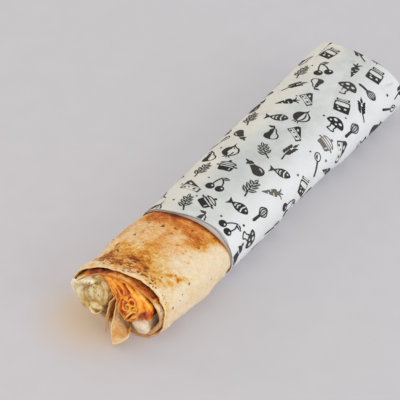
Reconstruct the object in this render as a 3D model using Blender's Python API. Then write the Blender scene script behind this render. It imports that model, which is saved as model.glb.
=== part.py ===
"""Saj sandwich: thin flatbread rolled twice round its fillings, in a paper sleeve.

Run in Blender 4.5. Metres, +Z up. The roll lies along Y, its open mouth faces -Y
and it rests on Z = 0. Every length below is in millimetres until a mesh is made.
"""

import math

import bmesh
import bpy
import numpy as np

MM = 0.001

# The roll's envelope: the paper's outer face, and the bread's in front of it.
# Along the roll: distance from the mouth, full width, full height, sideways lean.
ENVELOPE = np.array([
    (0.0, 57.4, 42.2, -0.7),
    (30.0, 58.8, 39.3, -0.3),
    (64.0, 59.9, 35.8, 0.0),
    (252.0, 66.6, 35.0, 0.0),
])
ROUNDNESS = 2.3        # exponent of the superellipse: 2 is an ellipse
SETTLE = 0.7           # how far the round belly is pressed flat on its rest
LENGTH = 257.0         # mouth to the paper's closed end
LIP_PLACE = 1.3        # the bread's front edge along Y, for most of its way round
LIP_FORWARD = 5.0      # high on the left it reaches further forward
TURN_FORWARD = 2.4     # over the top the second turn reaches in front of the first
WAIST_DEPTH = 2.2      # the bread is pinched in behind its lip, high on the left

# Paper sleeve
PAPER_START = 64.0     # bare bread in front of the sleeve
PAPER_THICK = 0.5      # the plies together
PLY_STEP = 2.6         # the inner ply shows this far in front of the outer one
END_ROUND = 6.0        # rounding of the folded-shut end
PAPER_SIDES = 44

# Bread sheet
GAP = 0.3              # between touching pieces
SHEET = 1.3            # bread thickness
PITCH = 2.0            # depth gained by each turn
SEAM_ANGLE = 225.0     # where the outer edge of the sheet ends, low on the left
WOUND = 690.0          # degrees wound from the seam to where the inner end stands up
WIND_STEP = 11.5
BREAD_END = 244.0

# The sheet's inner end, seen from the mouth: from where the winding stops it stands up
# between the fillings, folds over and comes down. Fractions of half-width and height.
INNER_END = [
    (-0.08, 0.017), (-0.107, 0.082), (-0.065, 0.183), (0.01, 0.29), (0.082, 0.378),
    (0.14, 0.415), (0.20, 0.378), (0.22, 0.277), (0.298, 0.148), (0.476, 0.038),
]
FLAP_REACH = 10.5      # how far the folded end hangs out of the mouth
# Drop and sideways drift for each millimetre hung out, at the fold and at the free edge.
FLAP_FALL = (1.30, 0.75)
FLAP_DRIFT = (0.0, 0.40)

# Fillings: where each one's rays start, as fractions of half-width and height.
CHEESE_HEART = (-0.60, 0.50)
CHICKEN_HEART = (0.26, 0.62)
SAUCE_HEART = (0.43, 0.25)
# Borders between the fillings, in the same fractions: they start from the top of the
# bread's fold and from its free edge.
CHEESE_TO_CHICKEN = [(-0.20, 0.64), (-0.29, 0.76), (-0.42, 0.98)]
CHICKEN_TO_SAUCE = [(0.30, 0.29), (0.42, 0.36), (0.55, 0.375), (0.70, 0.37), (0.95, 0.46)]
FILLING_END = 236.0
FILLING_RAYS = 32
FINE_RAYS = 4          # finer rays for each one kept, of which the shortest counts

# Distances from the mouth at which every piece has a ring of points.
STATIONS = [4.0, 12.0, 22.0, 34.0, 48.0, 64.0, 90.0, 126.0, 166.0, 204.0]


def smooth(value):
    """A soft step from 0 to 1."""
    held = np.clip(value, 0.0, 1.0)
    return held * held * (3.0 - 2.0 * held)


def envelope_size(y):
    """Half-width, height and lean of the envelope at a distance from the mouth."""
    width, height, lean = (np.interp(y, ENVELOPE[:, 0], ENVELOPE[:, column]) for column in (1, 2, 3))
    return width / 2.0, height, lean


def envelope_point(angle, depth, y):
    """Point (x, z) that lies depth inside the envelope, at an angle in degrees."""
    half, height, lean = envelope_size(y)
    rise = (height + SETTLE) / 2.0
    turn = math.radians(angle)
    power = 2.0 / ROUNDNESS
    cos_part = math.copysign(abs(math.cos(turn)) ** power, math.cos(turn))
    sin_part = math.copysign(abs(math.sin(turn)) ** power, math.sin(turn))
    steep = ROUNDNESS - 1.0
    normal_x = math.copysign(abs(cos_part) ** steep, cos_part) / half
    normal_z = math.copysign(abs(sin_part) ** steep, sin_part) / rise
    size = math.hypot(normal_x, normal_z)
    x = lean + half * cos_part - depth * normal_x / size
    z = rise - SETTLE + rise * sin_part - depth * normal_z / size
    return x, max(z, depth)


def bread_depth(angle, y):
    """Depth of the bread's outer face: it springs out in front of the paper."""
    high_left = max(math.cos(math.radians(angle - 125.0)), 0.0)
    waist = WAIST_DEPTH * high_left * math.exp(-((y - 24.0) / 13.0) ** 2)
    return (PAPER_THICK + GAP) * float(smooth(y / PAPER_START)) + waist


def along_curve(points, steps):
    """Catmull-Rom curve through points, with a number of steps between two of them."""
    given = [np.array(point, dtype=float) for point in points]
    given = [2 * given[0] - given[1]] + given + [2 * given[-1] - given[-2]]
    curve = []
    for first, start, end, last in zip(given, given[1:], given[2:], given[3:]):
        for step in range(steps):
            part = step / steps
            curve.append(0.5 * (
                2 * start + (end - first) * part
                + (2 * first - 5 * start + 4 * end - last) * part ** 2
                + (3 * start - first - 3 * end + last) * part ** 3))
    curve.append(given[-2])
    return np.array(curve)


def scaled(points, y):
    """Turn fractions of half-width and height into (x, z) at y."""
    half, height, _ = envelope_size(y)
    return np.array(points, dtype=float) * (half, height)


def wound_depth(turned):
    """The sheet keeps its depth through most of a turn, then steps in over the seam."""
    turns, part = divmod(turned, 360.0)
    return PITCH * (turns + float(smooth((part - 290.0) / 70.0)))


WIND_ANGLES = np.arange(0.0, WOUND + 0.1, WIND_STEP)
WIND_COUNT = len(WIND_ANGLES)


def bread_centre_line(y):
    """Middle of the rolled sheet as (x, z) points, from the seam to the inner end."""
    wound = []
    for turned in WIND_ANGLES:
        angle = SEAM_ANGLE - turned
        depth = bread_depth(angle, y) + wound_depth(turned) + SHEET / 2.0
        wound.append(envelope_point(angle, depth, y))
    fold = along_curve([(0.0, 0.0)] + INNER_END, 2)[1:]
    return np.array(wound + list(wound[-1] + scaled(fold, y)))


def bread_faces(y):
    """The sheet's two faces at y: outer and inner lists of (x, z) points."""
    middle = bread_centre_line(y)
    run = np.gradient(middle, axis=0)
    run /= np.linalg.norm(run, axis=1)[:, None]
    outward = np.stack([-run[:, 1], run[:, 0]], axis=1)
    return middle + outward * SHEET / 2.0, middle - outward * SHEET / 2.0


PATH_COUNT = len(bread_centre_line(0.0))
# How far along the folded end each path point lies: 0 at the fold, 1 at the free edge.
FOLD_START = WIND_COUNT + 10
DOWN_LEG = np.clip((np.arange(PATH_COUNT) - FOLD_START) / (PATH_COUNT - 1 - FOLD_START), 0, 1)


def bread_lip(index):
    """Where the sheet's front edge lies along Y at a point of its path."""
    if index >= WIND_COUNT:
        hang = math.sin(math.pi * float(np.clip((DOWN_LEG[index] - 0.25) / 0.85, 0.0, 1.0))) ** 1.2
        return LIP_PLACE - (FLAP_REACH + LIP_PLACE) * hang
    turned = WIND_ANGLES[index]
    angle = math.radians(SEAM_ANGLE - turned)
    forward = LIP_FORWARD * max(math.cos(angle - math.radians(160.0)), 0.0) ** 3
    second = float(smooth((turned - 250.0) / 100.0))
    turn_forward = TURN_FORWARD * max(math.sin(angle), 0.0) * second
    ripple = 0.4 * math.sin(3.0 * angle + 0.8)
    return LIP_PLACE - forward - turn_forward + ripple


def bread_section(y):
    """Both faces of the sheet at y; in front of the mouth the hung-out flap falls."""
    outer, inner = bread_faces(max(y, 0.0))
    out = max(-y, 0.0) * np.minimum(DOWN_LEG * 6.0, 1.0)
    drift = out * (FLAP_DRIFT[0] + (FLAP_DRIFT[1] - FLAP_DRIFT[0]) * DOWN_LEG)
    fall = out * (FLAP_FALL[0] + (FLAP_FALL[1] - FLAP_FALL[0]) * DOWN_LEG)
    for face in (outer, inner):
        face[:, 0] += drift
        face[:, 1] -= fall
    return outer, inner


def build_mesh(name, points, faces):
    """Make a mesh object in metres from millimetre points."""
    mesh = bpy.data.meshes.new(name)
    mesh.from_pydata((np.array(points) * MM).tolist(), [], faces)
    mesh.update()
    work = bmesh.new()
    work.from_mesh(mesh)
    bmesh.ops.triangulate(work, faces=work.faces)
    bmesh.ops.recalc_face_normals(work, faces=work.faces)
    work.to_mesh(mesh)
    work.free()
    mesh.shade_smooth()
    mesh.set_sharp_from_angle(angle=math.radians(50.0))
    piece = bpy.data.objects.new(name, mesh)
    bpy.context.scene.collection.objects.link(piece)
    return piece


def bread_sheet():
    """The rolled flatbread as one thick sheet: rings of points from mouth to back."""
    stations = [0.0, 0.25, 0.55] + STATIONS + [BREAD_END]
    rings = []
    for order, station in enumerate(stations):
        ring = np.zeros((2, PATH_COUNT, 3))
        for index in range(PATH_COUNT):
            lip = bread_lip(index)
            y = lip + (STATIONS[0] - lip) * station if order < 3 else station
            faces = bread_section(y)
            for side in (0, 1):
                x, z = faces[side][index]
                ring[side, index] = (x, y, z)
        rings.append(ring)
    points = np.array(rings).reshape(-1, 3)
    last_ring = len(stations) - 1

    def at(ring, side, index):
        return (ring * 2 + side) * PATH_COUNT + index

    faces = []
    for ring in range(last_ring):
        for index in range(PATH_COUNT - 1):
            for side in (0, 1):
                faces.append((at(ring, side, index), at(ring, side, index + 1),
                              at(ring + 1, side, index + 1), at(ring + 1, side, index)))
        for index in (0, PATH_COUNT - 1):
            faces.append((at(ring, 0, index), at(ring + 1, 0, index),
                          at(ring + 1, 1, index), at(ring, 1, index)))
    for ring in (0, last_ring):
        for index in range(PATH_COUNT - 1):
            faces.append((at(ring, 0, index), at(ring, 0, index + 1),
                          at(ring, 1, index + 1), at(ring, 1, index)))
    return build_mesh("saj_bread", points, faces)


def nearest_wall(start, direction, walls):
    """Distance from start along a direction to the nearest wall, less its clearance."""
    best = 60.0
    for wall, clearance in walls:
        ends = wall[1:]
        begins = wall[:-1]
        run = ends - begins
        length = np.linalg.norm(run, axis=1)
        normal = np.stack([run[:, 1], -run[:, 0]], axis=1) / length[:, None]
        height = ((begins - start) * normal).sum(axis=1)
        normal *= np.sign(height)[:, None]
        height = np.abs(height)
        facing = normal @ direction
        hit = height / np.maximum(facing, 1e-6)
        spot = ((start + hit[:, None] * direction - begins) * run).sum(axis=1) / length
        crossed = (facing > 1e-6) & (spot > -0.4) & (spot < length + 0.4)
        reach = (hit - clearance / np.maximum(facing, 0.35))[crossed]
        best = min(best, float(reach.min(initial=best)))
    return best


def filling_section(heart, borders, y, limit):
    """Outline of one filling at y: rays from its heart to the walls around it."""
    start = scaled([heart], y)[0]
    outer, inner = bread_faces(y)
    middle = bread_centre_line(y)
    walls = [(outer, GAP + 0.15), (inner, GAP + 0.15)]
    for border, foot in borders:
        line = np.vstack([middle[foot], scaled(border, y)])
        walls.append((along_curve(line, 3), GAP / 2.0 + 0.1))
    fine = FILLING_RAYS * FINE_RAYS
    angles = 2.0 * math.pi * np.arange(fine) / fine
    directions = np.stack([np.cos(angles), np.sin(angles)], axis=1)
    reach = [min(nearest_wall(start, ray, walls), limit) for ray in directions]
    outline = []
    for ray in range(0, fine, FINE_RAYS):
        around = [reach[(ray + step) % fine] for step in range(1 - FINE_RAYS, FINE_RAYS)]
        outline.append(start + directions[ray] * min(around))
    return start, np.array(outline)


def filling(name, heart, borders, limit, bulge, lumps):
    """One filling: a long core through the roll with a lumpy domed front."""
    start, front = filling_section(heart, borders, STATIONS[0], limit)
    points = []
    dome = [(0.0, -bulge), (0.4, -bulge * 0.95), (0.7, -bulge * 0.75), (0.9, -bulge * 0.35)]
    for share, y in dome:
        for ray in range(FILLING_RAYS):
            angle = 2.0 * math.pi * ray / FILLING_RAYS
            wave = lumps * share * math.sin(3.0 * angle + 5.0 * share + len(name))
            x, z = start + (front[ray] - start) * share
            points.append((x, y + wave, z))
            if share == 0.0:
                break
    for y in STATIONS + [FILLING_END]:
        outline = filling_section(heart, borders, y, limit)[1]
        points += [(x, y, z) for x, z in outline]
    rings = 3 + len(STATIONS) + 1
    faces = []
    for ray in range(FILLING_RAYS):
        follow = (ray + 1) % FILLING_RAYS
        faces.append((0, 1 + ray, 1 + follow))
        for ring in range(rings - 1):
            here = 1 + ring * FILLING_RAYS
            back = here + FILLING_RAYS
            faces.append((here + ray, back + ray, back + follow, here + follow))
    back = 1 + (rings - 1) * FILLING_RAYS
    faces.append(tuple(range(back, back + FILLING_RAYS)))
    return build_mesh(name, points, faces)


def ply_front(angle):
    """Where the outer ply's front edge lies: furthest back over the upper right."""
    over = math.cos(math.radians(angle - 62.0))
    return PAPER_START + 0.8 + PLY_STEP * float(smooth(over))


def paper_front(angle):
    """Where the sleeve's own front edge lies, slightly askew."""
    return PAPER_START + 0.9 * math.sin(math.radians(angle + 40.0))


def paper_ring(depth, y):
    """One ring of the sleeve; y is a number or a function of the angle."""
    ring = []
    for side in range(PAPER_SIDES):
        angle = 360.0 * side / PAPER_SIDES
        place = y(angle) if callable(y) else y
        from_end = max(place - (LENGTH - END_ROUND), 0.0)
        round_in = END_ROUND - math.sqrt(max(END_ROUND ** 2 - from_end ** 2, 0.0))
        x, z = envelope_point(angle, depth + round_in, place)
        ring.append((x, place, z))
    return ring


def paper_sleeve():
    """The wrapped paper: a sleeve with a folded-shut end and two plies at its front."""
    backs = [90.0, 126.0, 166.0, 204.0, 232.0, LENGTH - END_ROUND]
    curve = [LENGTH - END_ROUND * (1.0 - math.sin(math.radians(a))) for a in (35, 65, 90)]
    rings = [paper_ring(PAPER_THICK, y - PAPER_THICK) for y in reversed(backs + curve)]
    rings.append(paper_ring(PAPER_THICK, paper_front))
    rings.append(paper_ring(PAPER_THICK / 2.0, paper_front))
    rings.append(paper_ring(PAPER_THICK / 2.0, ply_front))
    rings.append(paper_ring(0.0, ply_front))
    rings += [paper_ring(0.0, y) for y in backs + curve]
    points = [point for ring in rings for point in ring]
    faces = []
    for ring in range(len(rings) - 1):
        for side in range(PAPER_SIDES):
            here = ring * PAPER_SIDES
            there = here + PAPER_SIDES
            follow = (side + 1) % PAPER_SIDES
            faces.append((here + side, here + follow, there + follow, there + side))
    last = (len(rings) - 1) * PAPER_SIDES
    faces.append(tuple(range(PAPER_SIDES)))
    faces.append(tuple(range(last, last + PAPER_SIDES)))
    return build_mesh("paper_sleeve", points, faces)


def material(name, color, roughness):
    """A plain surface."""
    surface = bpy.data.materials.new(name)
    surface.use_nodes = True
    shader = surface.node_tree.nodes["Principled BSDF"]
    shader.inputs["Base Color"].default_value = (*color, 1.0)
    shader.inputs["Roughness"].default_value = roughness
    shader.inputs["Metallic"].default_value = 0.0
    return surface


def clear_scene():
    for old in list(bpy.data.objects):
        bpy.data.objects.remove(old, do_unlink=True)


def centre_over_origin(pieces):
    """Move all the meshes so that the whole model's box is centred over the origin."""
    corners = np.array([vertex.co for piece in pieces for vertex in piece.data.vertices])
    low = corners.min(axis=0)
    high = corners.max(axis=0)
    for piece in pieces:
        for vertex in piece.data.vertices:
            vertex.co.x -= (low[0] + high[0]) / 2.0
            vertex.co.y -= (low[1] + high[1]) / 2.0
            vertex.co.z -= low[2]


def build():
    clear_scene()
    bread = bread_sheet()
    over_fold = (CHEESE_TO_CHICKEN, FOLD_START)
    over_edge = (CHICKEN_TO_SAUCE, PATH_COUNT - 1)
    cheese = filling("cheese_filling", CHEESE_HEART, [over_fold], 20.0, 6.5, 0.5)
    chicken = filling("chicken_filling", CHICKEN_HEART, [over_fold, over_edge], 27.0, 6.0, 1.0)
    sauce = filling("sauce_filling", SAUCE_HEART, [over_edge], 5.4, 1.5, 0.4)
    paper = paper_sleeve()
    looks = [
        (bread, "flatbread", (0.80, 0.62, 0.38), 0.75),
        (cheese, "melted_cheese", (0.82, 0.72, 0.48), 0.35),
        (chicken, "spiced_chicken", (0.66, 0.27, 0.06), 0.40),
        (sauce, "garlic_sauce", (0.78, 0.70, 0.56), 0.40),
        (paper, "greaseproof_paper", (0.80, 0.80, 0.77), 0.60),
    ]
    for piece, name, color, roughness in looks:
        piece.data.materials.append(material(name, color, roughness))
    centre_over_origin([piece for piece, *_ in looks])


build()
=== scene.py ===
"""Looks of the saj sandwich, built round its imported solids. Run in Blender 4.5.

Lengths are millimetres until a mesh is made. Y runs from the mouth at 0 to the paper's
closed end at 257, X is to the right seen from the mouth, and the roll rests on Z = 0.
Angles are degrees round the roll, from its right side over the top.
"""

import itertools
import math

import bpy
import numpy as np
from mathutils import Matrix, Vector, geometry


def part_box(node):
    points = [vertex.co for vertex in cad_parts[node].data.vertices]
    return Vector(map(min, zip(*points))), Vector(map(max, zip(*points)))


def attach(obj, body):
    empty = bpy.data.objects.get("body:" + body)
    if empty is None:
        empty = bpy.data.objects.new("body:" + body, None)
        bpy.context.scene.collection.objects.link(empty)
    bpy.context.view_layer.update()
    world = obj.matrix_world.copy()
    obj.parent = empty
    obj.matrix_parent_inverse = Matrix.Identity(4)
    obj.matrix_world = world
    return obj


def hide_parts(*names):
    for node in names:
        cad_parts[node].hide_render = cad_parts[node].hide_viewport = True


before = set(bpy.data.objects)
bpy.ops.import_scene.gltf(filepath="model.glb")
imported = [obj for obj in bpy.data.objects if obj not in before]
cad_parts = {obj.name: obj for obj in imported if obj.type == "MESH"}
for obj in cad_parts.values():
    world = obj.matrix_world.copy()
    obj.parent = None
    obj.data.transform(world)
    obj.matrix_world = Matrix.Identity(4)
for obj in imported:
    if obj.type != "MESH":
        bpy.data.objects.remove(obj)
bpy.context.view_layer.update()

MM = 0.001
LENGTH = 257.0
SHIFT_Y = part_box("paper_sleeve")[1][1] / MM - LENGTH   # from the mouth's Y to the frame's
AXIS_HEIGHT = 17.0

# The roll's envelope, as the solids have it: distance from mouth, width, height, lean.
ENVELOPE = np.array([
    (0.0, 57.4, 42.2, -0.7), (30.0, 58.8, 39.3, -0.3), (64.0, 59.9, 35.8, 0.0),
    (252.0, 66.6, 35.0, 0.0),
])
ROUNDNESS = 2.3          # power of the envelope's superellipse
SETTLE = 0.7             # how far its round underside lies below the floor
PAPER_START = 64.0
PAPER_PLY = 0.12
END_ROUND = 6.0

SHEET = 1.3              # the bread's thickness
PITCH = 2.0              # from one turn of the bread to the next
BREAD_ROUND = 0.43       # millimetres round the bread for each degree
SEAM_ANGLE = 225.0       # where its outer end lies
FIRST_END = 330.0        # degrees wound at the end of what shows as the first turn
SECOND = (345.0, 700.0)  # degrees wound where the second turn starts and ends
WOUND = 690.0            # degrees wound where the inner end folds in
BREAD_END = 244.0
LIP_PLACE = 1.3
# The folded inner end: how far it goes across and up, as shares of the roll's size.
INNER_END = [
    (0.0, 0.0), (0.010, 0.045), (0.035, 0.115), (0.075, 0.215), (0.125, 0.330),
    (0.180, 0.440), (0.235, 0.492), (0.285, 0.450), (0.262, 0.330), (0.290, 0.165), (0.500, 0.030),
]
# The hanging flap's free edge: place along the fold, distance in front of the mouth, X, Z.
FLAP_EDGE = np.array([
    (6.2, 0.0, -1.8, 24.6), (6.5, 0.9, -1.2, 24.0), (7.0, 1.8, -1.0, 21.5), (7.5, 2.8, -1.7, 17.0),
    (8.0, 4.4, -2.0, 12.5), (8.35, 6.8, -2.2, 7.6), (8.65, 9.8, 0.2, 3.4), (8.9, 13.7, 3.8, 0.5),
    (9.15, 12.6, 7.8, 4.8), (9.45, 10.8, 11.0, 8.0), (9.7, 9.0, 13.4, 10.4), (9.85, 6.2, 12.0, 11.2),
    (10.0, 2.6, 8.2, 10.6),
])
# How far the bread stands out at its right and left sides, by distance from the mouth.
FULL_RIGHT = np.array([
    (0, -0.5), (6, -0.4), (18, 0.2), (25, 1.1), (32, 2.0), (37, 2.2), (48, 1.6), (57, 0.8), (62, 0.0),
])
FULL_LEFT = np.array([
    (0, -0.5), (12, -1.0), (16, 0.0), (20, 0.9), (23, 1.6), (28, 2.4), (32, 2.3), (36, 1.4),
    (40, 1.0), (48, 1.4), (57, 0.8), (62, 0.0),
])
# Where the paper's inner ply begins, by angle.
INNER_PLY = np.array([
    (0, 63.4), (20, 62.8), (40, 62.5), (60, 63.2), (80, 63.9), (95, 63.7), (110, 63.1), (125, 62.7),
    (150, 62.9), (180, 63.6), (300, 64.2), (345, 64.2), (360, 63.4),
])

rng = np.random.default_rng(7)
NOISE_TABLE = np.random.default_rng(11).uniform(-1.0, 1.0, 8192)


# ---------------------------------------------------------------- numbers and noise

def smooth(value):
    held = np.clip(value, 0.0, 1.0)
    return held * held * (3.0 - 2.0 * held)


def ramp_up(value, start, length):
    return smooth((value - start) / length)


def ramp_down(value, end, length):
    return smooth((end - value) / length)


def bell(value, middle, breadth, power=2):
    """1 at the middle, falling off over the breadth."""
    return np.exp(-np.abs((value - middle) / breadth) ** power)


def turn_from(angle, middle):
    """Degrees from middle to angle, the short way round."""
    return (angle - middle + 180.0) % 360.0 - 180.0


def look_up(table, value, column=1):
    """A table's column at values of its first column."""
    return np.interp(value, table[:, 0], table[:, column])


def lattice(cell, seed):
    """A fixed random number from -1 to 1 for each whole-number cell."""
    key = cell[..., 0] * 7349 + cell[..., 1] * 3917 + cell[..., 2] * 1871 + seed * 617
    return NOISE_TABLE[key.astype(np.int64) % len(NOISE_TABLE)]


def wobble(points, size, seed):
    """Smooth noise from -1 to 1, with features about size across."""
    place = np.asarray(points, float) / size + 100.0
    cell = np.floor(place)
    part = smooth(place - cell)
    total = 0.0
    for corner in itertools.product((0, 1), repeat=3):
        near = np.where(corner, part, 1 - part)
        total = total + near[..., 0] * near[..., 1] * near[..., 2] * lattice(cell + corner, seed)
    return total


def rough(points, size, seed, layers=3):
    """Layered noise: each layer half as large and half as strong."""
    return sum(wobble(points, size / 2 ** k, seed + k) / 2 ** k for k in range(layers))


def curve_through(points, steps, closed=False):
    """Catmull-Rom curve through points of any dimension."""
    given = np.array(points, float)
    if closed:
        given = np.vstack([given[-1], given, given[0], given[1]])
    else:
        given = np.vstack([2 * given[0] - given[1], given, 2 * given[-1] - given[-2]])
    out = []
    for k in range(1, len(given) - 2):
        p0, p1, p2, p3 = given[k - 1:k + 3]
        for t in np.arange(steps) / steps:
            out.append(0.5 * (2 * p1 + (p2 - p0) * t + (2 * p0 - 5 * p1 + 4 * p2 - p3) * t ** 2
                              + (3 * p1 - p0 - 3 * p2 + p3) * t ** 3))
    if not closed:
        out.append(given[-2])
    return np.array(out)


def soften_along(rows, rounds):
    """Round off corners along rows of numbers or points by averaging neighbours."""
    for _ in range(rounds):
        inner = 0.25 * rows[:, :-2] + 0.5 * rows[:, 1:-1] + 0.25 * rows[:, 2:]
        rows = np.concatenate([rows[:, :1], inner, rows[:, -1:]], 1)
    return rows


def unit(vectors):
    return vectors / (np.linalg.norm(vectors, axis=-1)[..., None] + 1e-9)


def placed(spots, y):
    """Points from (x, z) spots and their distances along Y."""
    return np.stack([spots[..., 0], np.broadcast_to(y, spots.shape[:-1]), spots[..., 1]], -1)


# ---------------------------------------------------------------- the roll's envelope

def signed_power(value, power):
    return np.sign(value) * np.abs(value) ** power


def envelope_size(y):
    width, height, lean = (look_up(ENVELOPE, y, column) for column in (1, 2, 3))
    return width / 2.0, height, lean


def envelope_point(angle, depth, y):
    """X and Z of points depth inside the envelope."""
    half, height, lean = envelope_size(y)
    rise = (height + SETTLE) / 2.0
    turn = np.radians(angle)
    across, upward = (signed_power(part, 2.0 / ROUNDNESS) for part in (np.cos(turn), np.sin(turn)))
    nx = signed_power(across, ROUNDNESS - 1.0) / half
    nz = signed_power(upward, ROUNDNESS - 1.0) / rise
    size = np.hypot(nx, nz)
    x = lean + half * across - depth * (nx / size)
    z = rise - SETTLE + rise * upward - depth * (nz / size)
    return x, np.maximum(z, depth)


# ---------------------------------------------------------------- making meshes

def grid_faces(rows, columns, start=0, closed=False, flip=False):
    """Quads of a grid of points stored row by row."""
    r, c = np.meshgrid(np.arange(rows - 1), np.arange(columns - (not closed)), indexing="ij")
    follow = (c + 1) % columns
    quads = np.stack([r * columns + c, r * columns + follow,
                      (r + 1) * columns + follow, (r + 1) * columns + c], -1).reshape(-1, 4)
    return ((quads[:, ::-1] if flip else quads) + start).tolist()


def closed_rings(rings):
    """A closed body through rings of points, with a flat face at either end."""
    count, sides = len(rings), len(rings[0])
    faces = grid_faces(count, sides, closed=True)
    faces.append(list(range(sides))[::-1])
    faces.append(list(range((count - 1) * sides, count * sides)))
    return np.array(rings).reshape(-1, 3), faces


def border_faces(rows, columns, first_row=True):
    """Quads joining the edges of a sheet's two sides, which are stored one after the other."""
    total = rows * columns
    row, column = np.arange(columns), np.arange(rows) * columns
    lines = [(row + total - columns, -1), (column, -1), (column + columns - 1, 1)]
    if first_row:
        lines.append((row, 1))
    faces = []
    for line, turn in lines:
        for a, b in zip(line[:-1].tolist(), line[1:].tolist()):
            faces.append([a, a + total, b + total, b][::turn])
    return faces


def link_object(name, data):
    item = bpy.data.objects.new(name, data)
    bpy.context.scene.collection.objects.link(item)
    return item


def new_mesh(name, points, faces, smooth_shade):
    """A mesh in the frame from points in millimetres measured from the mouth."""
    mesh = bpy.data.meshes.new(name)
    mesh.from_pydata(((np.asarray(points, float) + (0.0, SHIFT_Y, 0.0)) * MM).tolist(), [], faces)
    mesh.validate()
    mesh.update()
    if smooth_shade:
        mesh.shade_smooth()
    return mesh


def new_object(name, points, faces, smooth_shade=True):
    return link_object(name, new_mesh(name, points, faces, smooth_shade))


def read(items, field, kind, width):
    """One field of a mesh's items, as rows of numbers."""
    flat = np.zeros(len(items) * width, kind)
    items.foreach_get(field, flat)
    return flat.reshape(-1, width)


def points_of(piece):
    """The mesh's points in millimetres measured from the mouth."""
    return read(piece.data.vertices, "co", np.float32, 3).astype(float) / MM - (0.0, SHIFT_Y, 0.0)


def normals_of(piece):
    return read(piece.data.vertices, "normal", np.float32, 3).astype(float)


def move_points(piece, points):
    there = (points + (0.0, SHIFT_Y, 0.0)) * MM
    piece.data.vertices.foreach_set("co", there.astype(np.float32).ravel())
    piece.data.update()


def give(piece, name, values):
    """Store one number or vector for each point of the mesh."""
    values = np.asarray(values, np.float32)
    kind, field = ("FLOAT", "value") if values.ndim == 1 else ("FLOAT_VECTOR", "vector")
    layer = piece.data.attributes.new(name, kind, "POINT")
    layer.data.foreach_set(field, values.ravel())


def hollowness(piece, rounds):
    """How sunken each point is against the ones round it: below 0 on a ridge, above in a crease."""
    points = points_of(piece)
    edges = read(piece.data.edges, "vertices", np.int64, 2)
    count = np.bincount(edges.ravel(), minlength=len(points))[:, None]
    soft = points.copy()
    for _ in range(rounds):
        total = np.zeros_like(soft)
        np.add.at(total, edges[:, 0], soft[edges[:, 1]])
        np.add.at(total, edges[:, 1], soft[edges[:, 0]])
        soft = 0.5 * soft + 0.5 * total / np.maximum(count, 1)
    return ((soft - points) * normals_of(piece)).sum(1)


def tube(path, width, height, up=(0.0, -1.0, 0.0), sides=10):
    """A closed strand along a path, oval across: its width lies flat to the direction up."""
    run = unit(np.gradient(path, axis=0))
    across = unit(np.cross(run, np.array(up)))
    over = np.cross(across, run)
    turn = 2 * np.pi * np.arange(sides) / sides
    return closed_rings(path[:, None] + across[:, None] * (np.cos(turn) * width[:, None])[..., None]
                        + over[:, None] * (np.sin(turn) * height[:, None])[..., None])


def ball(centre, radii, tilt=0.0, sides=16, rings=10):
    """A closed oval lump, tilted in the X-Z plane."""
    lat = np.pi * np.arange(rings + 1)[:, None] / rings
    lon = 2 * np.pi * np.arange(sides) / sides
    x, y = np.sin(lat) * np.cos(lon) * radii[0], np.sin(lat) * np.sin(lon) * radii[1]
    z = np.cos(lat) * np.ones(sides) * radii[2]
    c, s = math.cos(math.radians(tilt)), math.sin(math.radians(tilt))
    points = np.stack([x * c - z * s, y, x * s + z * c], -1) + np.array(centre)
    points[[0, -1]] += rng.normal(0, 1e-4, points[[0, -1]].shape)   # no two points in one place
    return points.reshape(-1, 3), grid_faces(rings + 1, sides, closed=True)


def gather(parts):
    """Join several (points, faces) into one."""
    points, faces, start = [], [], 0
    for some, theirs in parts:
        points.append(np.asarray(some))
        faces += [[index + start for index in face] for face in theirs]
        start += len(some)
    return np.vstack(points), faces


def melt(name, parts, voxel, rounds=3):
    """Melt overlapping closed shapes into one skin."""
    piece = new_object(name, *gather(parts))
    remesh = piece.modifiers.new("skin", "REMESH")
    remesh.mode = "VOXEL"
    remesh.voxel_size = voxel * MM
    soften = piece.modifiers.new("soften", "SMOOTH")
    soften.factor = 0.5
    soften.iterations = rounds
    view = bpy.context.evaluated_depsgraph_get()
    mesh = bpy.data.meshes.new_from_object(piece.evaluated_get(view))
    piece.modifiers.clear()
    piece.data = mesh
    mesh.shade_smooth()
    return piece


def append_shell(piece, points, faces):
    """Add a closed shell to an object's mesh, and say how many points it had before."""
    old = points_of(piece)
    old_faces = [list(face.vertices) for face in piece.data.polygons]
    piece.data = new_mesh(piece.name, *gather([(old, old_faces), (points, faces)]), True)
    return len(old)


# ---------------------------------------------------------------- materials

def linear(red, green, blue):
    """An sRGB colour given from 0 to 255, as a linear colour."""
    shares = [value / 255.0 for value in (red, green, blue)]
    return (*(share / 12.92 if share <= 0.04045 else ((share + 0.055) / 1.055) ** 2.4
              for share in shares), 1.0)


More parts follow.
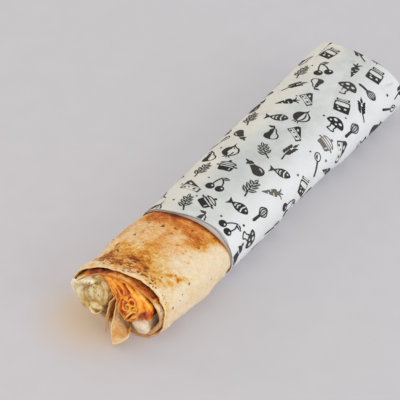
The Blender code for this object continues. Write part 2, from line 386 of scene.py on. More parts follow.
class Surface:
    """A node material under construction. Inputs are values or other nodes' outputs."""

    SOCKETS = {"color": "Base Color", "specular": "Specular IOR Level", "coat": "Coat Weight",
               "emission": "Emission Color"}

    def __init__(self, name):
        self.material = bpy.data.materials.new(name)
        self.material.use_nodes = True
        self.tree = self.material.node_tree

    def put(self, socket, value):
        if isinstance(value, bpy.types.NodeSocket):
            self.tree.links.new(value, socket)
        else:
            socket.default_value = value

    def node(self, kind, inputs, **settings):
        """The outputs of a new node."""
        node = self.tree.nodes.new("ShaderNode" + kind)
        for name, value in settings.items():
            setattr(node, name, value)
        for name, value in inputs.items():
            self.put(node.inputs[name], value)
        return node.outputs

    def math(self, operation, *values):
        return self.node("Math", dict(enumerate(values)), operation=operation)[0]

    def times(self, first, second):
        return self.math("MULTIPLY", first, second)

    def scaled(self, value, factor, plus):
        return self.math("MULTIPLY_ADD", value, factor, plus)

    def varied(self, level, pattern, amount):
        """A level moved up and down by a pattern that varies round a half."""
        return self.scaled(self.math("SUBTRACT", pattern, 0.5), amount, level)

    def attribute(self, name, output="Fac"):
        return self.node("Attribute", {}, attribute_name=name)[output]

    def place(self):
        return self.node("TexCoord", {})["Object"]

    def stretch(self, vector, scale):
        return self.node("Mapping", {"Vector": vector, "Scale": scale})[0]

    def halo(self, vector, centre, reach):
        """1 at a centre given in millimetres, fading to 0 at reach."""
        moved = self.node("Mapping", {
            "Vector": vector, "Location": [-value / reach for value in centre],
            "Scale": [1.0 / (reach * MM)] * 3})[0]
        return self.node("TexGradient", {"Vector": moved}, gradient_type="SPHERICAL")["Fac"]

    def noise(self, vector, scale, detail=2.0, roughness=0.5):
        return self.node("TexNoise", {"Vector": vector, "Scale": scale, "Detail": detail,
                                      "Roughness": roughness})[0]

    def ramp(self, factor, stops):
        """A band of stops: a place and a grey value, or a place and an sRGB colour."""
        band = self.node("ValToRGB", {0: factor})[0]
        elements = band.node.color_ramp.elements
        while len(elements) < len(stops):
            elements.new(0.5)
        for element, (place, *color) in zip(elements, stops):
            element.position = place
            element.color = linear(*color) if len(color) == 3 else (*color * 3, 1.0)
        return band

    def mix(self, factor, first, second):
        return self.node("Mix", {0: factor, 6: first, 7: second}, data_type="RGBA")[2]

    def bump(self, height, distance, strength=1.0, **under):
        return self.node("Bump", {"Height": height, "Distance": distance * MM,
                                  "Strength": strength, **under})[0]

    def finish(self, sinks=None, **sockets):
        """Set the shader. sinks: how much light goes in, how many millimetres, and its tint."""
        named = {self.SOCKETS.get(key, key.replace("_", " ").title()): value
                 for key, value in sockets.items()}
        if sinks:
            named["Subsurface Weight"], depth, named["Subsurface Radius"] = sinks
            named["Subsurface Scale"] = depth * MM
        shader = self.tree.nodes["Principled BSDF"]
        for name, value in named.items():
            self.put(shader.inputs[name], value)
        return self.material


def bread_surface():
    s = Surface("saj_flatbread")
    sheet = s.attribute("sheet", "Vector")
    middle = s.noise(sheet, 0.42, 4.0, 0.65)
    fine = s.noise(sheet, 0.95, 4.0, 0.65)
    # Painted shade: a little darker in small pits and lighter on small bumps.
    toast = s.scaled(s.attribute("pit"), 0.03, s.attribute("toast"))
    lively = s.times(toast, s.scaled(s.attribute("ruddy"), -0.6, 1.0))
    level = s.varied(toast, middle, s.scaled(lively, 0.90, 0.19))
    level = s.varied(level, fine, s.scaled(lively, 0.95, 0.34))
    golden = s.ramp(level, [
        (0.0, 244, 230, 202), (0.15, 240, 215, 174), (0.28, 234, 188, 104), (0.40, 222, 155, 48),
        (0.54, 192, 108, 14), (0.70, 144, 64, 6), (0.88, 90, 38, 12), (1.0, 52, 26, 12),
    ])
    ruddy = s.ramp(level, [
        (0.0, 244, 222, 194), (0.15, 239, 203, 158), (0.28, 230, 172, 110), (0.40, 217, 132, 52),
        (0.54, 189, 92, 27), (0.70, 138, 56, 22), (0.88, 88, 38, 28), (1.0, 52, 28, 26),
    ])
    color = s.mix(s.attribute("ruddy"), golden, ruddy)
    for size, share, mark in ((0.5, 1.0, (106, 44, 8)), (0.95, 0.6, (146, 76, 20))):
        cells = s.node("TexVoronoi", {"Vector": sheet, "Scale": size})
        chance = s.math("LESS_THAN", cells["Color"], s.times(s.attribute("speck"), share))
        spot = s.math("LESS_THAN", cells["Distance"], s.scaled(fine, 1.7, -0.38))
        color = s.mix(s.times(s.times(chance, spot), 0.85), color, linear(*mark))
    edge = s.mix(s.attribute("stain"), linear(240, 208, 152), linear(206, 128, 62))
    cut = s.attribute("cut")
    height = s.scaled(middle, 0.5, s.times(fine, 0.5))
    return s.finish(color=s.mix(cut, color, edge), roughness=s.ramp(level, [(0.0, 0.8), (0.7, 0.55)]),
                    normal=s.bump(height, 1.3, s.math("SUBTRACT", 1.0, cut)), specular=0.25,
                    sinks=(0.08, 1.5, (1.0, 0.5, 0.25)))


def chicken_surface():
    s = Surface("sauced_chicken")
    place = s.place()
    broad = s.noise(place, 190.0)
    fibres = s.noise(s.stretch(place, (900.0, 900.0, 350.0)), 1.0, 3.0, 0.6)
    # Painted shade in creases and further back, painted highlights on ridges; partly sauce pooled darker in
    # the creases.
    level = s.scaled(s.attribute("hollow_shade"), 0.58, 0.50)
    level = s.varied(s.varied(level, broad, 0.85), fibres, 0.45)
    color = s.ramp(level, [
        (0.0, 255, 206, 96), (0.2, 250, 168, 40), (0.42, 234, 132, 18), (0.68, 200, 86, 8),
        (1.0, 128, 42, 6),
    ])
    return s.finish(color=color, roughness=s.ramp(broad, [(0.35, 0.2), (0.7, 0.36)]),
                    normal=s.bump(fibres, 0.25, 0.5), specular=0.4, coat=0.2, coat_roughness=0.12,
                    sinks=(0.12, 1.5, (1.0, 0.4, 0.15)))


def cheese_surface():
    s = Surface("cheese_and_cream")
    place = s.place()
    broad = s.noise(place, 150.0, 3.0)
    fine = s.noise(place, 900.0, 4.0, 0.6)
    # Painted shade in creases and further back, painted highlights on ridges; partly the cheese's own
    # yellower creases.
    level = s.scaled(s.attribute("hollow_shade"), 0.8, 0.46)
    level = s.varied(s.varied(level, broad, 0.7), fine, 0.35)
    color = s.ramp(level, [
        (0.0, 244, 232, 190), (0.3, 226, 202, 138), (0.55, 206, 173, 98), (0.8, 186, 146, 70),
        (1.0, 152, 108, 46),
    ])
    color = s.mix(s.attribute("white"), color, linear(252, 247, 226))
    color = s.mix(s.attribute("brown"), color, linear(204, 148, 60))
    return s.finish(color=color, roughness=s.ramp(broad, [(0.3, 0.28), (0.7, 0.5)]),
                    normal=s.bump(fine, 0.2, 0.5), specular=0.5, coat=0.15, coat_roughness=0.2,
                    sinks=(0.2, 2.0, (1.0, 0.8, 0.5)))


def sauce_surface():
    s = Surface("white_sauce")
    place = s.place()
    color = s.ramp(s.noise(place, 200.0), [(0.35, 246, 233, 206), (0.7, 226, 198, 158)])
    return s.finish(color=color, roughness=0.35, normal=s.bump(s.noise(place, 700.0, 3.0), 0.15, 0.5),
                    specular=0.5, coat=0.2, coat_roughness=0.2, sinks=(0.2, 2.0, (1.0, 0.9, 0.7)))


def paper_surface():
    s = Surface("greaseproof_paper")
    place = s.place()
    crumple = s.noise(place, 130.0, 5.0, 0.6)
    fine = s.noise(place, 1300.0, 3.0, 0.6)
    color = s.ramp(s.noise(place, 38.0, 4.0, 0.55), [(0.36, 201, 205, 201), (0.64, 216, 219, 215)])
    # Painted light: the right side lighter, the left side lighter and warmer.
    for share, tint in ((s.ramp(crumple, [(0.46, 0.0), (0.66, 0.45)]), (186, 193, 186)),
                        (s.attribute("painted_right_light"), (229, 230, 230)), (s.attribute("painted_left_light"), (232, 226, 208)),
                        (s.attribute("seen"), (152, 118, 92)), (s.attribute("shaded"), (92, 86, 80))):
        color = s.mix(share, color, linear(*tint))
    normal = s.bump(fine, 0.08, 0.4, Normal=s.bump(crumple, 0.6, 0.5))
    return s.finish(color=color, roughness=0.5, normal=normal, specular=0.4,
                    sinks=(0.1, 1.0, (1.0, 1.0, 1.0)))


def ink_surface():
    s = Surface("dark_ink")
    fine = s.noise(s.place(), 1800.0, 3.0, 0.6)
    color = s.mix(s.attribute("grey_ink"), linear(24, 22, 21), linear(142, 136, 120))
    color = s.mix(s.times(fine, 0.06), color, linear(150, 148, 142))
    return s.finish(color=color, roughness=0.6, normal=s.bump(fine, 0.05, 0.4), specular=0.2)


def herb_surface():
    s = Surface("herb_flecks")
    fine = s.noise(s.place(), 900.0)
    color = s.ramp(fine, [(0.35, 70, 56, 28), (0.65, 116, 96, 46)])
    return s.finish(color=color, roughness=0.5, normal=s.bump(fine, 0.1, 0.5))


def floor_surface():
    """A plain floor that glows a little as painted light lifting its shadows, with painted warm bounce
    light from the mouth near it, where the colour is darker and warmer.
    """
    s = Surface("plain_floor")
    place = s.place()
    fine = s.noise(place, 60.0, 3.0)
    color = s.ramp(fine, [(0.3, 166, 161, 156), (0.7, 169, 164, 159)])
    # Painted warm bounce light from the mouth: a halo where the colour is darker and warmer and the glow
    # warmer.
    painted_bounce = s.halo(place, (-17.0, 3.0 + SHIFT_Y, 0.0), 40.0)
    painted_bounce = s.ramp(painted_bounce, [(0.0, 0.0), (0.3, 0.3), (0.6, 0.8), (1.0, 1.0)])
    # The floor's glow is painted light: cool away from the mouth, warm near it.
    painted_floor_light = s.mix(painted_bounce, (0.205, 0.213, 0.25, 1.0), (0.235, 0.19, 0.14, 1.0))
    return s.finish(color=s.mix(painted_bounce, color, linear(173, 153, 128)), emission=painted_floor_light,
                    emission_strength=1.0, roughness=0.85, normal=s.bump(fine, 0.1, 0.1), specular=0.2)


# ---------------------------------------------------------------- bread

def bread_path():
    """Samples along the sheet: degrees wound, and the folded inner end after them."""
    turned = np.concatenate([np.arange(0.0, 360.0, 1.75), np.arange(360.0, WOUND + 0.1, 3.0)])
    steps = 10
    fold = curve_through(INNER_END, steps)[1:]
    return turned, fold, (np.arange(len(fold)) + 1.0) / steps


TURNED, FOLD, FOLD_PART = bread_path()
WIND_COUNT = len(TURNED)
PATH_COUNT = WIND_COUNT + len(FOLD)
# For each sample: how far down the hanging flap it lies, and where the flap's free edge is.
DOWN_LEG = np.concatenate([np.zeros(WIND_COUNT), np.clip((FOLD_PART - 5.5) / 4.5, 0, 1)])
FLAP_OUT, FLAP_X, FLAP_Z = (
    np.concatenate([np.zeros(WIND_COUNT), look_up(FLAP_EDGE, FOLD_PART, column)])
    for column in (1, 2, 3))


def bread_depth(angle, y):
    """How far the outer turn lies inside the envelope."""
    high_left = np.maximum(np.cos(np.radians(angle - 125.0)), 0.0)
    full = 0.0
    for table, middle in ((FULL_RIGHT, -26.0), (FULL_LEFT, 150.0)):
        full = full + look_up(table, y) * bell(turn_from(angle, middle), 0.0, 28.0)
    return 0.8 * smooth(y / PAPER_START) + 2.2 * high_left * bell(y, 24.0, 13.0) - full


def wound_depth(turned):
    turns = np.floor(turned / 360.0)
    return PITCH * (turns + ramp_up(turned - 360.0 * turns, 290.0, 70.0))


def bread_middle(index, y):
    """Middle of the sheet as (x, z) at path samples and distances from the mouth."""
    turned = TURNED[np.minimum(index, WIND_COUNT - 1)]
    angle = SEAM_ANGLE - turned
    inside = np.maximum(y, 0.0)
    tight = 0.9 * ramp_up(inside, 66.0, 4.0)
    depth = bread_depth(angle, inside) + wound_depth(turned) + SHEET / 2.0 + tight
    x, z = envelope_point(angle, depth, inside)
    half, height, _ = envelope_size(inside)
    fold = FOLD[np.clip(index - WIND_COUNT, 0, len(FOLD) - 1)]
    folded = index >= WIND_COUNT
    x = x + np.where(folded, fold[..., 0] * half, 0.0)
    z = z + np.where(folded, fold[..., 1] * height, 0.0)
    reach = FLAP_OUT[index]
    share = np.where(reach > 0.4, np.maximum(-y, 0.0) / np.maximum(reach, 0.4), 0.0)
    x = x + (FLAP_X[index] - x) * share
    z = z + (FLAP_Z[index] - z) * share ** 1.15
    return np.stack([x, z], -1)


def bread_lip():
    """Where the sheet's front edge lies along Y at each path sample."""
    degrees = SEAM_ANGLE - TURNED
    angle = np.radians(degrees)
    forward = 4.8 * np.maximum(np.cos(angle - math.radians(146.0)), 0.0) ** 4
    rise = np.maximum(np.sin(angle + 0.2), 0.0)
    ahead = 3.6 * rise ** 0.7 * smooth(rise / 0.45) * ramp_up(TURNED, 250.0, 100.0)
    ahead = ahead + 3.4 * bell(degrees, 138.0 - 360.0, 24.0) * (TURNED > 360.0)
    back = 1.2 * bell(degrees, 62.0, 26.0) * (TURNED < FIRST_END)
    wound = LIP_PLACE + back - forward - ahead + 0.4 * np.sin(3.0 * angle + 0.8)
    folded = np.interp(FOLD_PART, [0, 0.8, 1.6, 4.5, 5.6, 6.3], [1.0, -1.4, -3.0, -3.0, -1.6, 0.0])
    lip = np.concatenate([wound, folded - FLAP_OUT[WIND_COUNT:]])
    sample = np.arange(PATH_COUNT)
    along = sample * np.where(sample < WIND_COUNT, 0.8, 0.5)
    spots = np.stack([along, 0.0 * along, 0.0 * along], -1)
    under = (ramp_up(TURNED, 190.0, 30.0) * ramp_down(TURNED, 340.0, 25.0)
             + ramp_up(TURNED, 540.0, 30.0) * ramp_down(TURNED, 690.0, 25.0))
    uneven = 1.0 - 0.75 * np.concatenate([under, np.zeros(len(folded))])
    return lip + uneven * (0.34 * rough(spots, 5.0, 3) + 0.16 * wobble(spots, 1.7, 9))


# Toasted places on the outside: angle round the roll, distance from the mouth, reach round
# and along in millimetres, strength, how reddish.
TOAST = [
    (119, 57.2, 4.4, 4.0, 0.32, 1.0), (108, 56.2, 3.4, 3.8, 0.26, 1.0), (130, 58.5, 2.8, 2.6, 0.12, 0.9),
    (102, 62.4, 3.4, 1.6, 0.60, 0.9), (97, 59.6, 1.5, 1.5, 0.34, 0.8), (113, 63.2, 4.6, 0.8, 0.50, 0.9),
    (128, 63.0, 4.6, 0.8, 0.36, 0.8),
    (67, 57.0, 5.0, 5.4, 0.30, 0.9), (50, 58.0, 3.2, 4.0, 0.20, 0.6), (75, 56.5, 3.4, 4.6, 0.12, 0.8),
    (61, 47.5, 3.6, 3.6, 0.26, 0.4), (48, 50.0, 3.2, 3.4, 0.14, 0.4), (60, 53.0, 3.6, 3.4, 0.14, 0.7),
    (88, 57.0, 2.8, 4.0, 0.12, 0.6), (89, 46.0, 0.6, 12.0, 0.10, 0.8), (91.5, 40.0, 0.4, 10.0, 0.08, 0.8),
    (62, 63.4, 8.0, 1.5, 0.44, 0.7), (82, 63.8, 4.6, 1.2, 0.40, 0.7), (43, 62.6, 4.2, 1.2, 0.34, 0.5),
    (29, 62.8, 3.6, 0.8, 0.24, 0.4),
    (110, 17.0, 3.6, 3.4, 0.12, 0.0), (97, 18.5, 4.0, 3.4, 0.22, 0.0), (84, 17.0, 4.2, 3.6, 0.26, 0.0),
    (118, 23.0, 2.6, 3.4, 0.12, 0.1), (106, 24.0, 3.0, 3.0, 0.08, 0.0), (91, 25.0, 2.4, 4.6, 0.20, 0.0),
    (87, 33.0, 1.7, 3.4, 0.12, 0.0), (96, 32.5, 1.2, 2.2, 0.12, 0.0), (68, 12.5, 3.0, 2.6, 0.22, 0.0),
    (45, 9.0, 4.0, 3.2, 0.12, 0.1), (60, 8.0, 3.6, 3.4, 0.14, 0.2), (46, 19.0, 4.4, 4.6, 0.12, 0.0),
    (31, 21.0, 2.6, 4.4, 0.12, 0.0), (78, 8.6, 3.0, 2.2, 0.10, 0.5), (134, 55.0, 3.0, 6.0, 0.16, 0.5),
    (90, 7.0, 3.4, 2.8, 0.14, 0.7), (104, 6.0, 3.2, 2.8, 0.14, 0.7), (101, 10.5, 3.0, 2.2, 0.14, 0.6),
    (106, 60.0, 3.0, 2.4, 0.20, 0.9),
    (94, 15.8, 1.5, 1.8, 0.48, 0.5), (88, 14.8, 1.5, 1.4, 0.30, 0.4), (75, 13.4, 1.6, 1.6, 0.48, 0.4),
    (82, 17.6, 1.3, 1.1, 0.24, 0.2), (100, 14.6, 2.2, 1.6, 0.22, 0.2), (81, 14.6, 1.6, 1.2, 0.22, 0.2),
    (78, 20.4, 2.2, 1.2, 0.14, 0.0), (104, 11.8, 2.6, 1.4, 0.16, 0.3),
    (49, 18.6, 1.3, 1.5, 0.34, 0.1), (50, 10.6, 1.9, 1.1, 0.24, 0.0), (41, 20.6, 1.6, 1.1, 0.22, 0.0),
    (34, 24.0, 2.0, 1.5, 0.22, 0.0), (36, 19.6, 1.2, 1.9, 0.18, 0.0), (36, 13.6, 1.7, 1.5, 0.20, 0.0),
    (44, 15.0, 1.3, 1.3, 0.14, 0.0), (28, 26.0, 1.4, 1.2, 0.14, 0.0), (57, 14.5, 1.6, 1.6, 0.14, 0.0),
    (123, 16.0, 1.2, 4.4, 0.36, 0.6), (118, 10.0, 1.8, 2.8, 0.38, 0.6), (128, 25.0, 0.9, 1.3, 0.44, 0.4),
    (134, 7.0, 1.8, 1.8, 0.30, 0.4), (126, 12.0, 1.3, 2.4, 0.28, 0.4), (113, 14.0, 1.2, 2.4, 0.20, 0.3),
    (116, 27.0, 2.4, 2.4, 0.14, 0.0),
    (42, 5.4, 3.6, 1.6, 0.13, 0.0), (24, 4.2, 3.6, 1.6, 0.14, 0.0), (6, 3.2, 3.6, 1.5, 0.14, 0.0),
    (-12, 2.2, 3.6, 1.4, 0.16, 0.0), (58, 4.0, 3.2, 1.2, 0.10, 0.0),
    (-24, 51.0, 0.7, 3.0, 0.55, 1.0), (-27, 44.0, 0.6, 2.0, 0.35, 0.8), (-16, 62.0, 1.6, 1.2, 0.45, 0.8),
    (88, 52.0, 0.55, 0.6, 0.68, 0.3), (72, 40.0, 0.55, 0.6, 0.52, 0.0), (60, 40.0, 0.5, 0.5, 0.36, 0.0),
    (50, 39.0, 0.6, 0.6, 0.40, 0.0), (60, 37.0, 0.5, 0.5, 0.34, 0.0), (46, 34.8, 0.5, 0.5, 0.36, 0.0),
    (112, 41.0, 0.5, 0.6, 0.44, 0.2), (106, 46.0, 0.5, 0.6, 0.34, 0.2), (87, 46.5, 0.5, 0.8, 0.34, 0.2),
    (160, 40.0, 7.0, 9.0, 0.34, 0.3), (172, 20.0, 5.0, 6.0, 0.28, 0.0), (205, 50.0, 8.0, 7.0, 0.40, 0.4),
    (222, 18.0, 6.0, 9.0, 0.32, 0.1), (262, 36.0, 9.0, 12.0, 0.46, 0.3), (300, 15.0, 8.0, 7.0, 0.36, 0.1),
    (318, 44.0, 5.0, 7.0, 0.26, 0.2),
]
# Toast all round the outside, by angle.
BASE_TOAST = np.array([
    (-180, 0.16), (-60, 0.12), (0, 0.10), (40, 0.10), (54, 0.14), (68, 0.21), (84, 0.27), (104, 0.26),
    (124, 0.22), (140, 0.16), (180, 0.14),
])
# The second turn where it shows beyond the mouth's edge: angle, toast. This is partly real toast and partly
# painted shade from the outer lip, darkest at about 100 to 120 degrees.
SECOND_TOAST_AND_SHADE = np.array([
    (-60, 0.16), (5, 0.16), (18, 0.26), (30, 0.46), (38, 0.66), (50, 0.76), (60, 0.70), (72, 0.58),
    (86, 0.54), (93, 0.54), (99, 0.84), (110, 0.98), (118, 0.86), (126, 0.50), (150, 0.34), (200, 0.28),
])


def outside_toast(angle, y, spots, mottle, shown):
    """Toast and redness of the outside, from its base tone and the toasted places."""
    near = bell(y, 6.5, 4.5) * ramp_up(angle, 52.0, 14.0)
    dull = ramp_up(angle, 48.0, 22.0) * ramp_up(y, 25.0, 9.0)
    base = look_up(BASE_TOAST, angle) + 0.03 * rough(spots, 9.0, 23)
    base = base * (1.0 - 0.45 * bell(y, 2.5, 2.2)) + 0.03 * near - 0.012 * dull
    ragged = 1.0 + 0.20 * rough(spots, 4.0, 21)
    kept, weight = 1.0 - base, 1.0
    red = 0.12 + 0.56 * dull + 0.5 * near
    for centre, place, reach, length, strength, ruddy in TOAST:
        large = min(reach, length) >= 1.0
        far = np.hypot(turn_from(angle, centre) * BREAD_ROUND / reach, (y - place) / length)
        shape = np.exp(-0.5 * (far * (ragged if large else 1.0)) ** 2.3) * shown
        shape = shape * (0.92 + 0.16 * mottle if large else 1.0)
        kept = kept * (1.0 - np.clip(strength * shape, 0, 0.95))
        red = red + 6.0 * shape * strength * ruddy
        weight = weight + 6.0 * shape * strength
    return 1.0 - kept, red / weight


def bread_looks(index, y, side, behind):
    """Toast, redness, speck density and edge stain at points of one side of the sheet."""
    folded = index >= WIND_COUNT
    turned = np.where(folded, WOUND + 20.0, TURNED[np.minimum(index, WIND_COUNT - 1)])
    angle = turn_from(SEAM_ANGLE, turned)
    spots = np.stack([turned * BREAD_ROUND, y, np.full(index.shape, 30.0 * side)], -1)
    mottle = wobble(spots, 2.4, 63)
    grain = wobble(spots, 1.25, 67)
    toast, red = outside_toast(angle, y, spots, mottle, (turned < FIRST_END) & (side == 0))
    lively = toast * (1.0 - 0.7 * ramp_up(y, 24.0, 10.0))
    toast = toast + (0.014 + 0.16 * lively) * mottle + (0.018 + 0.18 * lively) * grain
    speck = (0.80 * bell(y, 7.2, 4.0) * bell(angle, 98.0, 27.0)
             + 0.34 * bell(y, 4.0, 3.0) * bell(angle, 45.0, 30.0)
             + 0.75 * bell(y, 14.0, 8.0) * bell(angle, 120.0, 8.0)
             + 0.25 * bell(y, 18.0, 5.0) * bell(angle, 42.0, 14.0)
             + 0.06 + 0.07 * ramp_up(angle, 60.0, 20.0))

    second = (turned > SECOND[0]) & (turned < SECOND[1])
    shown = second & (side == 0)
    round_second = SEAM_ANGLE + 360.0 - turned
    # Painted shade from the outer lip: round 108 degrees the band stays dark up to its own edge.
    lip_shade = bell(round_second, 108.0, 12.0)
    dark = look_up(SECOND_TOAST_AND_SHADE, round_second) * (1.0 - (0.46 - 0.34 * lip_shade) * bell(behind, 0.0, 1.9))
    toast = np.where(shown, dark * (1.0 + 0.22 * mottle + 0.30 * grain), toast)
    red = np.where(shown, np.interp(round_second, [90, 97, 120, 130], [0.7, 0.95, 0.95, 0.25]), red)
    speck = np.where(shown, 0.2, speck)

    inside = (side == 1) & (turned < SECOND[1])
    toast = np.where(inside, 0.16 + 0.05 * mottle, toast)
    red = np.where(inside, 0.3, red)
    down = DOWN_LEG[index]
    patch = 0.03 * bell(y, -6.5, 3.2) * bell(down, 0.72, 0.3)
    flap = 0.225 + patch + 0.05 * mottle + 0.05 * grain
    outer = np.where(down < 0.02, 0.16 + 0.05 * mottle, flap)
    toast = np.where(folded, 0.40 + 0.12 * mottle if side else outer, toast)
    red = np.where(folded, 0.55, red)

    stain = ramp_up(round_second, 20.0, 20.0) * (1 - ramp_up(round_second, 122.0, 12.0)) * second
    low = (ramp_up(turned, 225.0, 30.0) * ramp_down(turned, 345.0, 30.0)
           + ramp_up(turned, 560.0, 25.0) * ramp_down(turned, 690.0, 30.0))
    return toast, np.clip(red, 0, 1), speck, np.maximum(stain, 0.5 * low)


def bread_waves(turned, y, spots, behind, free):
    """How far the whole sheet is bent outwards: soft waves, a wavy lip and wrinkles."""
    wave = (0.40 * rough(spots, 15.0, 31) + 0.20 * rough(spots, 5.0, 41)) * free
    wave = wave + 0.5 * bell(behind, 0.0, 1.6) * wobble(spots, 5.0, 47)
    # Wrinkles beside the mouth on the upper left: valleys running along the roll.
    for centre, slope, first, last, depth, breadth in (
            (134, -1.2, 5.0, 26.0, -0.75, 1.3), (141, -0.9, 6.0, 24.0, 0.55, 1.2),
            (124, -0.8, 7.0, 24.0, 0.30, 1.2), (108, -1.6, 10.0, 24.0, -0.28, 1.4),
            (92, -0.7, 9.0, 20.0, -0.22, 1.4)):
        off = (SEAM_ANGLE - turned - (centre + slope * (y - first))) * BREAD_ROUND
        shape = ramp_up(y, first, 4.0) * ramp_down(y, last, 6.0) * (turned < FIRST_END)
        wave = wave + depth * shape * bell(off, 0.0, breadth) * (1.0 + 0.5 * wobble(spots, 3.0, 49))
    return wave


def bread_sides(grid, y, lip):
    """Points of the sheet's outer and inner side, and its painted shade: darker in small pits, lighter on
    small bumps.
    """
    middle = soften_along(bread_middle(grid, y), 8)
    run = unit(np.gradient(middle, axis=1))
    outward = np.stack([-run[..., 1], run[..., 0]], -1)
    turned = np.where(grid < WIND_COUNT, TURNED[np.minimum(grid, WIND_COUNT - 1)],
                      WOUND + (grid - WIND_COUNT))
    spots = np.stack([turned * BREAD_ROUND, y, np.zeros_like(y)], -1)
    behind = y - lip
    free = 1.0 - 0.85 * ramp_up(y, 56.0, 8.0)
    wave = bread_waves(turned, y, spots, behind, free)
    blister = 0.34 * ramp_up(wobble(spots, 3.4, 51), 0.2, 0.6) * free
    dimple = -0.22 * ramp_up(wobble(spots, 2.6, 57), 0.3, 0.5) * free
    fine = (0.22 * wobble(spots, 2.3, 53) + 0.16 * wobble(spots, 1.4, 55)) * free
    thick = SHEET * (0.92 + 0.14 * rough(spots, 7.0, 61)) * (0.62 + 0.38 * smooth(behind / 1.1))
    # Several layers cling together inside the mouth's lower right.
    layers = 1.1 * ramp_up(turned, 535.0, 25.0) * ramp_down(turned, 668.0, 20.0)
    layers = layers * (1 - ramp_up(y, 3.0, 8.0)) * (0.55 + 0.45 * smooth(behind / 0.9))
    sides = []
    for push, lowest in ((wave + thick / 2.0 + blister + dimple + fine, 0.05),
                         (wave - thick / 2.0 + 0.4 * blister + fine - layers, 0.15)):
        place = middle + outward * push[..., None]
        above = place[..., 1] - lowest
        place[..., 1] = lowest + 0.5 * (above + np.sqrt(above ** 2 + 0.02))
        sides.append(placed(place, y))
    return sides, spots, -np.clip((blister + dimple + fine) / 0.35, -1.0, 1.0)


def bread_faces(rows):
    """Faces of the two sides, the rounded front edge between them and the other edges."""
    count = rows * PATH_COUNT
    faces = grid_faces(rows, PATH_COUNT) + grid_faces(rows, PATH_COUNT, count, flip=True)
    faces += border_faces(rows, PATH_COUNT, first_row=False)
    for c in range(PATH_COUNT - 1):
        edge = 2 * count + c
        faces += [[c, edge, edge + 1, c + 1], [edge, c + count, c + 1 + count, edge + 1]]
    for column, turn in ((0, 1), (PATH_COUNT - 1, -1)):
        faces.append([column, column + count, 2 * count + column][::turn])
    return faces


def build_bread():
    lip = bread_lip()
    # Rows crowd near the lip, lie even as far as the paper, and are sparse behind that.
    blend = (np.arange(19)[:, None] / 18.0) ** 1.25
    places = np.concatenate([np.arange(6.8, 68.0, 0.8), [70, 78, 95, 130, 170, 210, BREAD_END]])
    y = np.vstack([lip + (6.0 - lip) * blend, np.repeat(places[:, None], PATH_COUNT, axis=1)])
    grid = np.repeat(np.arange(PATH_COUNT)[None, :], len(y), axis=0)
    sides, spots, pit = bread_sides(grid, y, lip)
    rim = 0.5 * (sides[0][0] + sides[1][0]) - (0.0, 0.34, 0.0)
    points = np.vstack([sides[0].reshape(-1, 3), sides[1].reshape(-1, 3), rim])
    piece = new_object("bread_roll", points, bread_faces(len(y)))
    behind = y - lip
    names = ("toast", "ruddy", "speck", "stain", "cut", "pit", "sheet")
    looks = [(*bread_looks(grid, y, side, behind), bell(behind, 0.0, 0.42), pit,
              spots + (0.0, 0.0, 40.0 * side)) for side in (0, 1)]
    for name, outer, inner in zip(names, *looks):
        give(piece, name, np.concatenate([part.reshape(-1, *part.shape[2:])
                                          for part in (outer, inner, outer[:1])]))
    piece.data.materials.append(bread_surface())
    return piece


# ---------------------------------------------------------------- fillings

# Outlines of the fillings' fronts where they meet the bread, and the point each bulges from.
CHEESE_HEART = (-16.5, 21.5)
CHEESE_EDGE = [
    (-5.6, 20.4), (-3.6, 24.4), (-3.2, 27.8), (-4.8, 31.4), (-7.4, 35.2), (-11.0, 37.2),
    (-16.3, 36.6), (-22.3, 34.6), (-26.7, 30.6), (-28.2, 25.4), (-27.8, 20.9), (-26.2, 16.7),
    (-24.4, 13.0), (-21.8, 10.2), (-17.3, 8.2), (-12.4, 9.4), (-9.4, 12.4), (-7.4, 16.4),
]
CHICKEN_HEART = (8.5, 26.4)
CHICKEN_EDGE = [
    (20.9, 25.9), (19.6, 30.6), (15.8, 34.6), (11.8, 36.8), (7.5, 37.6), (2.9, 38.4),
    (-3.0, 38.8), (-9.6, 38.6), (-8.0, 34.6), (-4.8, 30.4), (-1.8, 26.4), (0.6, 22.6), (2.4, 17.4),
    (5.2, 13.6), (8.6, 13.0), (12.4, 15.0), (16.3, 16.6), (20.2, 18.8), (21.2, 22.0),
]
SAUCE_HEART = (12.6, 10.5)
SAUCE_EDGE = [
    (18.2, 10.5), (17.7, 12.9), (16.4, 14.9), (14.3, 15.9), (12.4, 15.8), (10.9, 14.9),
    (9.6, 13.4), (8.5, 11.9), (7.6, 10.5), (6.8, 8.0), (7.8, 5.8), (10.1, 4.6), (12.4, 4.1),
    (14.6, 4.5), (16.5, 5.8), (17.9, 7.8),
]


